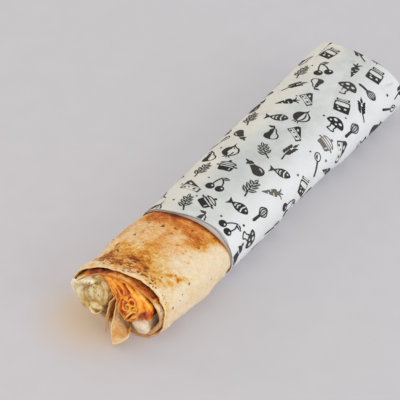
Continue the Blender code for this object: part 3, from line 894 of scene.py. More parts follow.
class Front:
    """The bulging front of a filling."""

    SHARES = [0, 0.4, 0.7, 0.9, 1.0, 1.15]   # of the way from the heart to the edge

    def __init__(self, heart, edge, profile):
        """The profile gives the distances along Y at SHARES."""
        self.heart, self.profile = np.array(heart), profile
        across, upward = (curve_through(edge, 6, closed=True) - self.heart).T
        order = np.argsort(np.arctan2(upward, across))
        self.angles = np.arctan2(upward, across)[order]
        self.reach = np.hypot(across, upward)[order]

    def reach_at(self, angle):
        return np.interp(angle, self.angles, self.reach, period=2 * np.pi)

    def rays(self, count):
        """Even directions from the heart, and how far the edge is in each."""
        angle = 2 * np.pi * np.arange(count) / count
        return np.stack([np.cos(angle), np.sin(angle)], -1), self.reach_at(angle)

    def height(self, x, z):
        """Distance along Y of the bulging face at (x, z)."""
        across, upward = x - self.heart[0], z - self.heart[1]
        share = np.hypot(across, upward) / self.reach_at(np.arctan2(upward, across))
        return np.interp(share, self.SHARES, self.profile)

    def core(self, sink, lumps, seed):
        """A closed body: the bulging face sunk a little, running a short way back."""
        way, reach = self.rays(96)
        rings = []
        for share in (0.02, 0.15, 0.3, 0.45, 0.6, 0.72, 0.82, 0.9, 0.96):
            spots = self.heart + way * (reach * share)[:, None]
            y = self.height(*spots.T) + sink
            rings.append(placed(spots, y + lumps * wobble(placed(spots, 0.0), 3.0, seed)))
        edge = self.heart + way * (reach * 0.985)[:, None]
        return closed_rings(rings + [placed(edge, 5.0), placed(edge, 9.0)])

    def back(self, seed):
        """The filling's run from behind the mouth to near the closed end."""
        way, reach = self.rays(48)
        rings = []
        base_half, base_height, _ = envelope_size(0.0)
        for y in (7.0, 20.0, 40.0, 64.0, 100.0, 140.0, 180.0, 215.0, 236.0):
            half, height, _ = envelope_size(y)
            shrink = 0.93 - 0.09 * (y > 10) + 0.04 * (y > 60)
            spots = self.heart + way * (reach * shrink)[:, None]
            spots = spots * (half / base_half, height / base_height)
            spots[:, 0] = np.maximum(spots[:, 0], -half + 6.6)
            spots += 0.3 * wobble(placed(spots, y), 8.0, seed)[:, None]
            rings.append(placed(spots, y))
        return closed_rings(rings)

    def strand(self, spots, lift, width, height, taper):
        """A strand lying on the face through (x, z) spots; lift brings its top forward."""
        flat = curve_through(spots, 5)
        y = soften_along((self.height(*flat.T) - lift + height)[None], 4)[0]
        part = np.arange(len(flat)) / (len(flat) - 1)
        thin = taper + (1 - taper) * np.sin(np.pi * np.clip(part * 0.9 + 0.05, 0, 1)) ** 0.6
        path = placed(flat, y)
        thin = thin * (1.0 + 0.28 * wobble(path, 2.4, 29))
        return tube(path, width * thin, height * thin)

    def lump(self, x, z, radii, tilt, lift):
        """A rounded lump whose top stands lift in front of the face."""
        return ball((x, float(self.height(x, z)) - lift + radii[1], z), radii, tilt)


def round_marks(points, marks):
    """The sum of soft round marks on a front, each with its X, Z, reach and strength."""
    x, _, z = points.T
    return sum(strength * np.exp(-((x - cx) ** 2 + (z - cz) ** 2) / reach ** 2)
               for cx, cz, reach, strength in marks)


def finish_filling(piece, front, seed, grain, rounds, contrast, shades=()):
    """Roughen the front's skin, add the long core, and store each point's painted shade: darker where
    sunken or further back, lighter on ridges, plus any shade marks.
    """
    points = points_of(piece)
    move_points(piece, points + normals_of(piece) * (grain * rough(points, 2.2, seed))[:, None])
    points = points_of(piece)
    behind = points[:, 1] - front.height(points[:, 0], points[:, 2])
    # Painted shade and light: creases and points further back darker, ridges lighter.
    hollow_shade = hollowness(piece, rounds) * contrast + 0.34 * np.clip(behind, -1.5, 1.8)
    hollow_shade = np.clip(hollow_shade + round_marks(points, shades), -1, 1)
    start = append_shell(piece, *front.back(seed))
    give(piece, "hollow_shade", np.append(hollow_shade, np.zeros(len(piece.data.vertices) - start)))
    return points_of(piece)


# Strands: spots (x, z), lift, width, height. Lumps: x, z, radii, tilt, lift.
# Marks: x, z, reach, strength. The chicken's shade marks are painted shade where the strength is above 0
# and painted light where it is below.
CHICKEN_STRANDS = [
    ([(-8.6, 38.2), (-6.2, 37.0), (-3.2, 35.6), (-0.9, 33.6), (1.0, 31.1), (1.8, 28.3)], 0.7, 1.0, 1.0),
    ([(-7.4, 38.4), (-4.3, 37.4), (-1.2, 35.9), (0.9, 34.1), (2.3, 31.7)], 1.1, 0.75, 1.0),
    ([(-5.2, 38.2), (-1.8, 37.2), (1.5, 35.4), (3.6, 33.4), (5.2, 31.1)], 1.3, 0.9, 1.1),
    ([(-3.4, 38.3), (0.1, 37.8), (3.4, 36.8), (5.8, 35.2), (6.9, 33.0)], 1.3, 0.95, 1.1),
    ([(-1.6, 38.4), (2.4, 38.2), (5.9, 37.6), (8.4, 36.2)], 1.2, 0.9, 1.0),
    ([(-6.9, 38.6), (-1.6, 38.6), (3.3, 38.4), (7.3, 37.8), (9.5, 37.0)], 0.8, 0.9, 1.0),
    ([(6.1, 35.9), (7.8, 34.1), (8.6, 31.6)], 0.2, 0.55, 0.9),
    ([(8.0, 36.0), (10.2, 34.4), (11.3, 32.4)], 0.3, 0.5, 0.9),
    ([(7.0, 37.4), (11.0, 35.6), (14.4, 33.0), (16.8, 29.8), (16.9, 26.6), (14.9, 23.1), (12.9, 20.5)],
     2.3, 1.1, 1.3),
    ([(10.6, 34.4), (13.5, 32.3), (15.1, 29.3), (14.6, 26.0), (13.0, 23.7)], 1.0, 0.8, 1.0),
    ([(8.6, 37.4), (13.2, 35.8), (17.0, 32.4), (19.8, 28.6), (21.0, 24.3), (20.6, 20.6)], 1.2, 1.2, 1.3),
    ([(11.6, 35.8), (16.0, 32.7), (18.7, 29.1), (19.9, 24.9), (20.0, 21.6)], 0.8, 0.9, 1.1),
    ([(5.2, 30.2), (3.7, 25.8), (2.6, 20.6), (4.0, 16.6), (6.6, 14.8)], 1.7, 0.75, 1.1),
    ([(6.8, 30.0), (6.0, 26.2), (6.5, 23.5), (8.6, 23.0)], 0.7, 0.65, 0.9),
    ([(9.9, 29.9), (10.9, 32.1), (12.9, 32.3), (14.1, 30.8), (13.4, 28.9), (11.6, 28.5)], 1.6, 0.6, 0.9),
    ([(7.9, 26.7), (9.7, 28.6), (10.9, 27.3), (10.4, 24.9), (8.5, 21.9)], 1.1, 0.6, 0.9),
    ([(6.0, 15.4), (10.0, 21.5), (13.0, 25.0), (15.0, 25.1)], 1.9, 0.85, 1.1),
    ([(7.0, 14.0), (10.4, 18.2), (13.7, 22.6), (15.0, 24.6)], 1.6, 0.7, 1.0),
    ([(5.6, 17.0), (6.4, 13.9), (8.9, 13.3), (11.6, 15.6), (14.6, 21.5)], 1.3, 0.8, 1.1),
    ([(10.9, 24.5), (13.1, 26.4), (14.6, 28.5)], 1.2, 0.6, 0.9),
    ([(3.2, 29.3), (5.7, 30.9), (7.9, 30.9), (9.9, 30.1)], 1.0, 0.7, 0.9),
    ([(3.8, 32.3), (6.5, 31.6), (9.0, 32.1)], 0.6, 0.6, 0.9),
    ([(15.6, 21.7), (17.6, 25.2), (18.4, 28.3)], 0.5, 0.8, 1.0),
    ([(16.2, 25.9), (17.8, 22.3), (19.1, 18.8)], 0.9, 0.9, 1.1),
]
CHICKEN_LUMPS = [
    (19.0, 23.4, (2.5, 2.0, 3.6), 12, 0.8), (10.4, 17.8, (3.0, 2.0, 2.6), -35, 0.6),
    (18.0, 27.2, (1.9, 1.6, 3.0), 20, 0.2), (19.2, 20.2, (2.2, 1.8, 2.0), 0, 0.5),
    (-3.4, 36.4, (3.2, 1.6, 1.8), -35, 0.2), (2.0, 35.0, (3.4, 1.6, 2.0), -38, 0.1),
    (3.8, 22.6, (1.4, 1.6, 3.6), 4, 0.0),
]
CHICKEN_SHADES = [
    (19.6, 23.0, 3.6, 0.95), (10.2, 18.4, 2.4, 0.5), (9.0, 31.9, 2.4, -0.2),
    (10.8, 22.2, 3.0, -0.35), (7.6, 34.2, 1.8, 0.5), (5.0, 20.0, 3.0, 0.2), (2.2, 39.6, 3.0, 0.3),
]


def chance_shred(front, picks):
    """A short shred somewhere on the chicken's front."""
    angle = picks.uniform(0, 2 * np.pi)
    part = picks.uniform(0.1, 0.93)
    here = front.heart + np.array([math.cos(angle), math.sin(angle)]) * front.reach_at(angle) * part
    heading = math.radians(picks.normal(-55, 26))
    size = picks.uniform(1.0, 2.6)
    bend = picks.normal(0, 0.5)
    ahead = np.array([math.cos(heading), math.sin(heading)])
    side = np.array([-ahead[1], ahead[0]])
    spots = [here - ahead * size, here + side * bend, here + ahead * size]
    return front.strand(spots, picks.uniform(-0.7, 0.9), picks.uniform(0.35, 0.6),
                        picks.uniform(0.6, 1.0), 0.45)


def build_chicken():
    front = Front(CHICKEN_HEART, CHICKEN_EDGE, [-6.0, -5.7, -4.8, -3.0, -0.6, 3.0])
    picks = np.random.default_rng(23)
    parts = [front.core(0.6, 0.9, 13)]
    for spots, lift, width, height in CHICKEN_STRANDS:
        parts.append(front.strand(spots, lift + 0.15, 0.50 + 0.28 * width, 1.4 * height,
                                  picks.uniform(0.5, 0.75)))
    parts += [front.lump(*lump) for lump in CHICKEN_LUMPS]
    parts += [chance_shred(front, picks) for _ in range(34)]
    piece = melt("chicken_shreds", parts, 0.25, rounds=2)
    finish_filling(piece, front, 71, 0.16, 8, 2.9, CHICKEN_SHADES)
    piece.data.materials.append(chicken_surface())
    return piece


CHEESE_STRANDS = [
    ([(-25.6, 27.4), (-23.4, 29.8), (-19.7, 31.6), (-15.5, 32.8), (-12.8, 33.6)], 3.4, 1.9, 2.2),
    ([(-23.8, 31.0), (-19.2, 33.2), (-14.9, 34.4)], 2.6, 1.5, 1.6),
    ([(-25.9, 28.6), (-27.2, 26.2), (-27.8, 23.2), (-27.6, 20.4), (-26.8, 18.2)], 2.8, 1.2, 2.2),
    ([(-20.6, 26.6), (-22.8, 22.6), (-22.6, 17.8), (-20.6, 15.0)], 1.0, 2.0, 1.7),
    ([(-13.6, 30.8), (-14.4, 25.6), (-13.8, 20.6)], 0.7, 2.3, 1.6),
    ([(-10.4, 26.4), (-9.8, 23.0), (-9.2, 18.9)], 0.9, 0.7, 1.2),
    ([(-8.4, 32.0), (-6.9, 28.7), (-6.7, 24.6), (-8.3, 19.0)], 0.3, 1.7, 1.3),
    ([(-15.6, 15.3), (-14.4, 12.2), (-12.4, 10.6), (-10.0, 12.2)], 2.2, 0.5, 1.3),
    ([(-13.8, 18.0), (-11.4, 15.6), (-9.4, 16.4)], 0.8, 1.8, 1.5),
    ([(-23.4, 12.4), (-21.4, 10.8), (-19.0, 10.6)], 1.0, 1.3, 1.3),
]
CHEESE_LUMPS = [
    (-22.4, 20.6, (4.4, 3.0, 7.0), 6, 0.8), (-11.4, 25.2, (4.6, 2.8, 6.6), -14, 0.6),
    (-16.8, 22.0, (4.2, 2.6, 6.0), 4, 0.2), (-7.6, 30.6, (2.6, 2.2, 4.2), 28, 0.3),
    (-13.6, 16.4, (3.8, 2.4, 3.0), 12, 0.8), (-22.0, 12.8, (2.4, 2.2, 1.9), 20, 0.6),
    (-22.6, 29.4, (4.6, 3.2, 2.6), 28, 3.6), (-16.4, 32.2, (4.4, 3.0, 2.2), 14, 3.0),
]
CHEESE_WHITE = [
    (-24.5, 31.4, 3.6, 0.8), (-17.5, 34.4, 3.4, 0.8), (-28.6, 24.5, 2.6, 0.6),
    (-28.2, 20.0, 2.4, 0.5), (-23.0, 23.0, 4.0, 0.3),
]
CHEESE_BROWN = [
    (-21.5, 11.6, 2.4, 0.8), (-18.6, 30.4, 1.9, 0.7), (-22.2, 28.4, 1.7, 0.7), (-5.4, 23.0, 2.2, 0.45),
    (-8.0, 36.0, 2.5, 0.5), (-7.0, 19.0, 2.4, 0.35), (-15.0, 31.6, 1.4, 0.4),
]


def hanging_strip():
    """The thin strip of cheese that hangs beside the flap."""
    path = curve_through([(-7.2, -0.8, 13.8), (-6.8, -2.0, 11.5), (-6.5, -3.0, 8.8),
                          (-5.9, -4.4, 5.9), (-5.6, -5.2, 2.6), (-5.7, -5.5, 0.9)], 4)
    last = len(path) - 1
    width = np.interp(np.arange(last + 1), [0, 4, 9, 13, 17, last], [0.6, 1.2, 1.15, 0.95, 1.6, 1.0])
    return tube(path, width, np.full(last + 1, 0.4), up=(0.3, -1.0, 0.2))


def keep_inside(piece):
    """Push what bulges out at the top, behind the second turn's edge, back inside that turn."""
    points = points_of(piece)
    x, y, z = points.T
    half, height, lean = envelope_size(np.maximum(y, 0.0))
    rise = (height + SETTLE) / 2.0
    off_x, off_z = x - lean, z - rise + SETTLE
    room = 3.9
    u, v = off_x / (half - room), off_z / (rise - room)
    size = (np.abs(u) ** ROUNDNESS + np.abs(v) ** ROUNDNESS) ** (1.0 / ROUNDNESS)
    edge = np.interp(np.degrees(np.arctan2(v, u)), [60, 100, 120, 140, 158, 175],
                     [-3.0, -5.4, -7.0, -8.4, -5.0, -1.5])
    push = (1.0 - 1.0 / np.maximum(size, 1.0)) * ramp_up(y - edge, -0.6, 1.2) * (z > 16.0) * (y < 12.0)
    move_points(piece, points - np.stack([off_x * push, 0.0 * y, off_z * push], -1))


def build_cheese():
    front = Front(CHEESE_HEART, CHEESE_EDGE, [-5.8, -5.6, -4.9, -3.6, -1.8, 2.5])
    parts = [front.core(0.6, 1.1, 17)]
    parts += [front.strand(*strand, 0.6) for strand in CHEESE_STRANDS]
    parts += [front.lump(*lump) for lump in CHEESE_LUMPS]
    piece = melt("cheese_folds", parts + [hanging_strip()], 0.32, rounds=7)
    keep_inside(piece)
    points = finish_filling(piece, front, 83, 0.22, 26, 1.5)
    x, y, z = points.T
    near = y < 6.0
    strip = 0.9 * bell(x, -7.0, 2.6, 4) * (z < 13.4) * (y < -2.0)
    give(piece, "white", np.clip(round_marks(points, CHEESE_WHITE) * near, 0, 0.95))
    give(piece, "brown", np.clip(round_marks(points, CHEESE_BROWN) * near + strip, 0, 0.9))
    piece.data.materials.append(cheese_surface())
    return piece


def build_sauce():
    front = Front(SAUCE_HEART, SAUCE_EDGE, [-1.6, -1.5, -1.2, -0.4, 0.6, 3.0])
    parts = [front.core(0.4, 0.5, 19), ball((12.6, -0.6, 12.0), (4.8, 2.4, 3.4), -8),
             ball((15.0, -0.2, 10.6), (2.6, 1.8, 2.4), 30), ball((9.8, 0.0, 10.4), (2.4, 1.5, 2.6), 0)]
    piece = melt("sauce_lump", parts, 0.34)
    finish_filling(piece, front, 91, 0.10, 10, 3.0)
    piece.data.materials.append(sauce_surface())
    return piece


def herb_fleck(spot, picks):
    """A thin six-sided fleck, longer one way, tilted a little."""
    size = picks.uniform(0.16, 0.32)
    turn = picks.uniform(0, 2 * np.pi)
    corners = []
    for k in range(6):
        reach = size * picks.uniform(0.6, 1.2) * (1.0 if k % 3 else 1.6)
        angle = turn + k * np.pi / 3
        corners.append((math.cos(angle) * reach, math.sin(angle) * reach))
    tilt = picks.normal(0, 0.35, 2)
    top = [spot + (u, tilt[0] * u + tilt[1] * v - 0.16, v) for u, v in corners]
    low = [point + (0.0, 0.22, 0.0) for point in top]
    sides = [[k, k + 6, (k + 1) % 6 + 6, (k + 1) % 6] for k in range(6)]
    return top + low, [[0, 1, 2, 3, 4, 5], [11, 10, 9, 8, 7, 6]] + sides


def build_herbs(cheese, chicken):
    """Small dried herb flecks lying on the fillings' frontmost points."""
    picks = np.random.default_rng(37)
    flecks = []
    for piece, middle_x, middle_z, spread, count in (
            (cheese, -13.2, 33.0, 1.3, 13), (cheese, -14.0, 29.0, 1.6, 5),
            (cheese, -18.0, 22.0, 3.0, 4), (chicken, 2.0, 34.0, 2.5, 3), (cheese, -9.6, 27.0, 1.5, 5)):
        points = points_of(piece)
        for _ in range(count):
            x, z = picks.normal(middle_x, spread), picks.normal(middle_z, spread)
            near = points[np.hypot(points[:, 0] - x, points[:, 2] - z) < 0.5]
            if len(near):
                flecks.append(herb_fleck(near[near[:, 1].argmin()], picks))
    piece = new_object("herb_flecks", *gather(flecks), smooth_shade=False)
    piece.data.materials.append(herb_surface())
    return piece


# ---------------------------------------------------------------- paper

PAPER_STEP = 1.6
PAPER_ANGLES = np.arange(0.0, 360.0, PAPER_STEP)
PAPER_COLUMNS = len(PAPER_ANGLES)
PAPER_ROUND = 0.45       # millimetres round the paper for each degree
CAP_STEP = 6.0           # degrees from row to row round the closed end's edge
# Angle at the start, Y at the start, degrees per millimetre, Y at the end, depth, breadth.
CREASES = [
    (70, 196, 0.35, 250, -0.55, 1.6), (104, 150, -0.10, 236, -0.28, 2.4),
    (38, 78, 0.22, 140, -0.26, 2.0), (140, 84, 0.12, 160, -0.24, 2.2),
    (20, 170, 0.30, 240, -0.30, 1.8), (86, 66, 0.16, 112, -0.22, 1.8),
    (160, 190, -0.3, 250, -0.35, 1.8), (52, 228, -0.9, 256, -0.40, 1.5),
    (120, 226, 0.6, 256, -0.40, 1.6), (200, 90, 0.2, 200, -0.3, 2.0), (250, 100, 0.1, 180, -0.2, 2.0),
    (320, 120, 0.15, 220, -0.3, 2.0), (350, 90, -0.12, 170, -0.25, 2.0),
]


def relief(angle, y):
    """How far the paper stands out from the envelope: soft dents, pulls and creases."""
    turn = np.radians(angle)
    around = np.stack([np.cos(turn) * 26.0, y, np.sin(turn) * 26.0], -1)
    soft = 0.30 * wobble(around * (1.0, 0.45, 1.0), 22.0, 101) + 0.16 * rough(around, 13.0, 111)
    fold = 0.0
    for start, first, slope, last, depth, breadth in CREASES:
        off = turn_from(angle, start + slope * (y - first)) * PAPER_ROUND
        shape = ramp_up(y, first, 12.0) * ramp_down(y, last, 12.0)
        fold = fold + depth * shape * bell(off, 0.0, breadth, 1.4)
        fold = fold + 0.35 * abs(depth) * shape * bell(off, 1.7 * breadth, breadth)
    press = -1.2 * ramp_up(y, 112.0, 14.0) * ramp_down(y, 184.0, 12.0)
    press = press * bell(turn_from(angle, -25.0), 0.0, 24.0)
    crumple = 0.10 * rough(around * (1.0, 0.7, 1.0), 6.0, 141)
    held = ramp_up(y, PAPER_START, 10.0) * 0.75 + 0.25
    return (soft + fold + press + crumple) * held * ramp_up(np.sin(turn), -0.92, 0.35)


def outer_front(angle):
    """Where the outer ply's front edge lies along Y."""
    over = bell(turn_from(angle, 65.0), 0.0, 33.0, 4)
    return PAPER_START + 0.3 + 2.7 * over + 0.25 * np.sin(np.radians(3 * angle))


def inner_front(angle):
    return look_up(INNER_PLY, np.mod(angle, 360.0))


def edge_shift(front, angle, y):
    """How far a ply's rows are moved along Y near its front edge."""
    return (front(angle) - PAPER_START) * (1 - ramp_up(y, PAPER_START, 12.0))


def end_slant(x, y):
    """The closed end is not square: it reaches further on the left than on the right."""
    return (-0.35 - 0.105 * x) * ramp_up(y, 195.0, 55.0)


def end_rows(first, last, step):
    """Distances along Y for rows at even angles round the closed end's rounded edge."""
    return LENGTH - END_ROUND * (1.0 - np.sin(np.radians(np.arange(first, last, step))))


def paper_points(angle, depth, y):
    """Points of a ply at an angle and distance; depth is measured inwards."""
    corner = END_ROUND - 3.4 * bell(turn_from(angle, 136.0), 0.0, 34.0)
    from_end = np.maximum(y - (LENGTH - corner), 0.0)
    inset = corner - np.sqrt(np.maximum(corner ** 2 - from_end ** 2, 0.0))
    out = relief(angle, y) * (1 - smooth(from_end / END_ROUND) * 0.6)
    x, z = envelope_point(angle, depth + inset - out, y)
    return np.stack([x, y + end_slant(x, y), np.maximum(z, np.maximum(depth, 0.02))], -1)


def ply(front, depth, last, step, raised=0.0):
    """A tube of paper: where its rows lie along Y, its inner skin from the back and its outer."""
    base = np.arange(PAPER_START, last + 0.01, step)
    base[-1] = last
    angle = PAPER_ANGLES[None, :]
    y = base[:, None] + edge_shift(front, angle, base[:, None])
    lift = raised * bell(base, PAPER_START, 1.6)[:, None]
    outer = paper_points(np.repeat(angle, len(base), 0), depth - lift, y)
    back = np.linspace(0, len(base) - 1, 14).round().astype(int)[::-1]
    inner = paper_points(np.repeat(angle, len(back), 0), depth + PAPER_PLY, y[back])
    inner[..., 1] = np.minimum(inner[..., 1], LENGTH - PAPER_PLY + end_slant(inner[..., 0], LENGTH))
    return base, inner, outer


def end_face(rim):
    """Rings of the paper that closes the end, sagging a little and creased towards its middle."""
    middle = np.array([0.0, LENGTH, 17.4])
    rings = []
    for share in np.linspace(0.93, 0.05, 14):
        ring = middle + (rim - middle) * share
        sag = 0.5 * (1 - share) + 0.25 * wobble(ring, 7.0, 121) * (1 - share ** 6)
        fold = 0.35 * np.abs(np.sin(np.radians(PAPER_ANGLES) * 2.0)) ** 6 * share
        ring[:, 1] = LENGTH + end_slant(ring[:, 0], LENGTH) - sag - fold * (1 - share ** 8)
        rings.append(ring)
    return rings


def thin_sheet(outer):
    """A closed thin sheet under a grid of points."""
    rows, columns = outer.shape[:2]
    normal = unit(np.cross(np.gradient(outer, axis=0), np.gradient(outer, axis=1)))
    sign = np.sign(((outer - (0.0, 200.0, AXIS_HEIGHT)) * normal).sum(-1))[..., None]
    inner = outer - normal * sign * PAPER_PLY
    inner[..., 2] = np.maximum(inner[..., 2], 0.01)
    faces = grid_faces(rows, columns) + grid_faces(rows, columns, rows * columns, flip=True)
    return (np.vstack([outer.reshape(-1, 3), inner.reshape(-1, 3)]),
            faces + border_faces(rows, columns))


def end_flap(first, last, reach, narrow, raise_by):
    """Paper folded over the closed end from the top or the bottom."""
    count = 40
    angles = np.linspace(first, last, count)
    rounded = end_rows(48, 91, 7)
    off = (raise_by + 0.12) * ramp_up(rounded, rounded[0], 1.4) - 0.12
    rows = [paper_points(angles, -out, np.full(count, y)) for out, y in zip(off, rounded)]
    rows[-1] = rim = rows[-1] + (0.0, raise_by, 0.0)
    way = -1.0 if first < 180.0 else 1.0
    side = np.linspace(-1, 1, count)
    for step in np.linspace(0.06, 1.0, 18):
        x = rim[:, 0] * (1 - narrow * step)
        z = rim[:, 2] + way * reach * step * (1 - 0.10 * side ** 2)
        y = LENGTH + end_slant(x, LENGTH) + raise_by - 0.25 * np.sin(np.pi * step) * (1 - 0.5 * side ** 2)
        row = np.stack([x, y, z], -1)
        row[:, 1] += 0.15 * wobble(row, 6.0, 131) * step + 0.25 * step ** 3
        rows.append(row)
    return thin_sheet(np.array(rows))


def corner_patch():
    """The doubled paper at the closed end's upper left corner."""
    angles = np.linspace(127.0, 182.0, 28)
    start = 236.0
    rows = []
    for share in np.linspace(0.0, 1.0, 26):
        y = start + 4.0 * np.abs(angles - 150.0) / 30.0 * (1 - share) + (LENGTH - start) * share
        off = 0.04 + 0.30 * smooth(share * 8.0) + 0.16 * bell(angles, 129.0, 4.0)
        rows.append(paper_points(angles, -off, np.minimum(y, LENGTH)) + (0.0, 0.25 * share, 0.0))
    return thin_sheet(np.array(rows))


def build_paper():
    """The paper, and the rows and points of its outside for the print."""
    base, inner, outer = ply(outer_front, 0.0, LENGTH - END_ROUND, 1.1, 0.34)
    curve = end_rows(CAP_STEP, 91, CAP_STEP)
    cap = paper_points(np.repeat(PAPER_ANGLES[None, :], len(curve), 0), 0.0,
                       np.repeat(curve[:, None], PAPER_COLUMNS, 1))
    sleeve = closed_rings([*inner, *outer, *cap, *end_face(cap[-1])])
    _, under_inner, under_outer = ply(inner_front, 0.26, 80.0, 0.5)
    # The inner ply is a short tube: its outer side's last row joins its inner side's first.
    rings = np.concatenate([under_inner, under_outer])
    last = (len(rings) - 1) * PAPER_COLUMNS
    follow = (np.arange(PAPER_COLUMNS) + 1) % PAPER_COLUMNS
    join = [[last + c, c, d, last + d] for c, d in enumerate(follow.tolist())]
    under_ply = (rings.reshape(-1, 3), grid_faces(len(rings), PAPER_COLUMNS, closed=True) + join)
    piece = new_object("paper_wrap", *gather([
        sleeve, under_ply, end_flap(235.0, 305.0, 17.0, 0.30, 0.18),
        end_flap(52.0, 128.0, 20.5, 0.42, 0.42), corner_patch()]))
    x, y, z = points_of(piece).T
    angle = turn_from(np.degrees(np.arctan2(z - AXIS_HEIGHT, x)), 0.0)
    # Painted light: lighter on the right side, lighter and warmer on the left side.
    give(piece, "painted_right_light", ramp_down(angle, 66.0, 46.0) * ramp_up(angle, -120.0, 40.0))
    give(piece, "painted_left_light", 0.6 * ramp_up(angle, 100.0, 34.0))
    # The inner ply has a painted shadow under the outer one's edge and takes on the bread's colour.
    under = np.zeros(len(x))
    under[len(sleeve[0]):len(sleeve[0]) + len(under_ply[0])] = 1.0
    gap = outer_front(np.mod(angle, 360.0)) - y
    depth = np.maximum(y - inner_front(angle), 0.0)
    give(piece, "seen", under * 0.9 * np.exp(-depth / 3.4) * ramp_up(z, 12.0, 12.0))
    give(piece, "shaded", under * 0.75 * bell(gap, 0.1, 0.55) * ramp_up(z, 8.0, 8.0))
    piece.data.materials.append(paper_surface())
    return piece, base, np.concatenate([outer, cap])


# ---------------------------------------------------------------- print

def oval(x, y, across, along, turn=0.0, count=24):
    a = np.linspace(0, 2 * np.pi, count, endpoint=False)
    c, s = math.cos(math.radians(turn)), math.sin(math.radians(turn))
    u, v = across * np.cos(a), along * np.sin(a)
    return np.stack([x + u * c - v * s, y + u * s + v * c], -1)


def blob(*spots):
    return curve_through(spots, 5, closed=True)


def sharp(*spots):
    return np.array(spots, float)


def mirrored(*half, axis=0):
    """Spots of half an outline, then their mirror images in reverse, without those on the axis."""
    flip = (1, -1) if axis else (-1, 1)
    return [*half, *((x * flip[0], y * flip[1]) for x, y in half[::-1] if (x, y)[axis])]


def stroke(spots, width, taper=1.0):
    """The outline of a line drawn through spots."""
    path = curve_through(spots, 6) if len(spots) > 2 else np.linspace(spots[0], spots[1], 6)
    run = np.gradient(path, axis=0)
    run /= np.linalg.norm(run, axis=1)[:, None]
    half = (0.06 + 0.65 * width) * np.linspace(1.0, taper, len(path))[:, None]
    side = np.stack([-run[:, 1], run[:, 0]], -1) * half
    return np.vstack([path + side, path[-1:] + run[-1:] * half[-1:], (path - side)[::-1],
                      path[:1] - run[:1] * half[:1]])


def leaf(x, y, turn, length, breadth, rib=True):
    """A pointed leaf from its foot at (x, y), with a clear midrib."""
    c, s = math.cos(math.radians(turn)), math.sin(math.radians(turn))

    def place(u, v):
        u, v = u * length, v * breadth
        return x + u * c - v * s, y + u * s + v * c

    edge = mirrored((0.0, 0.0), (0.25, 0.42), (0.55, 0.46), (0.85, 0.2), (1.0, 0.0), axis=1)
    parts = [(1, blob(*(place(u, v) for u, v in edge)))]
    if rib:
        parts.append((0, stroke([place(0.12, 0.0), place(0.8, 0.0)], 0.32, 0.5)))
    return parts


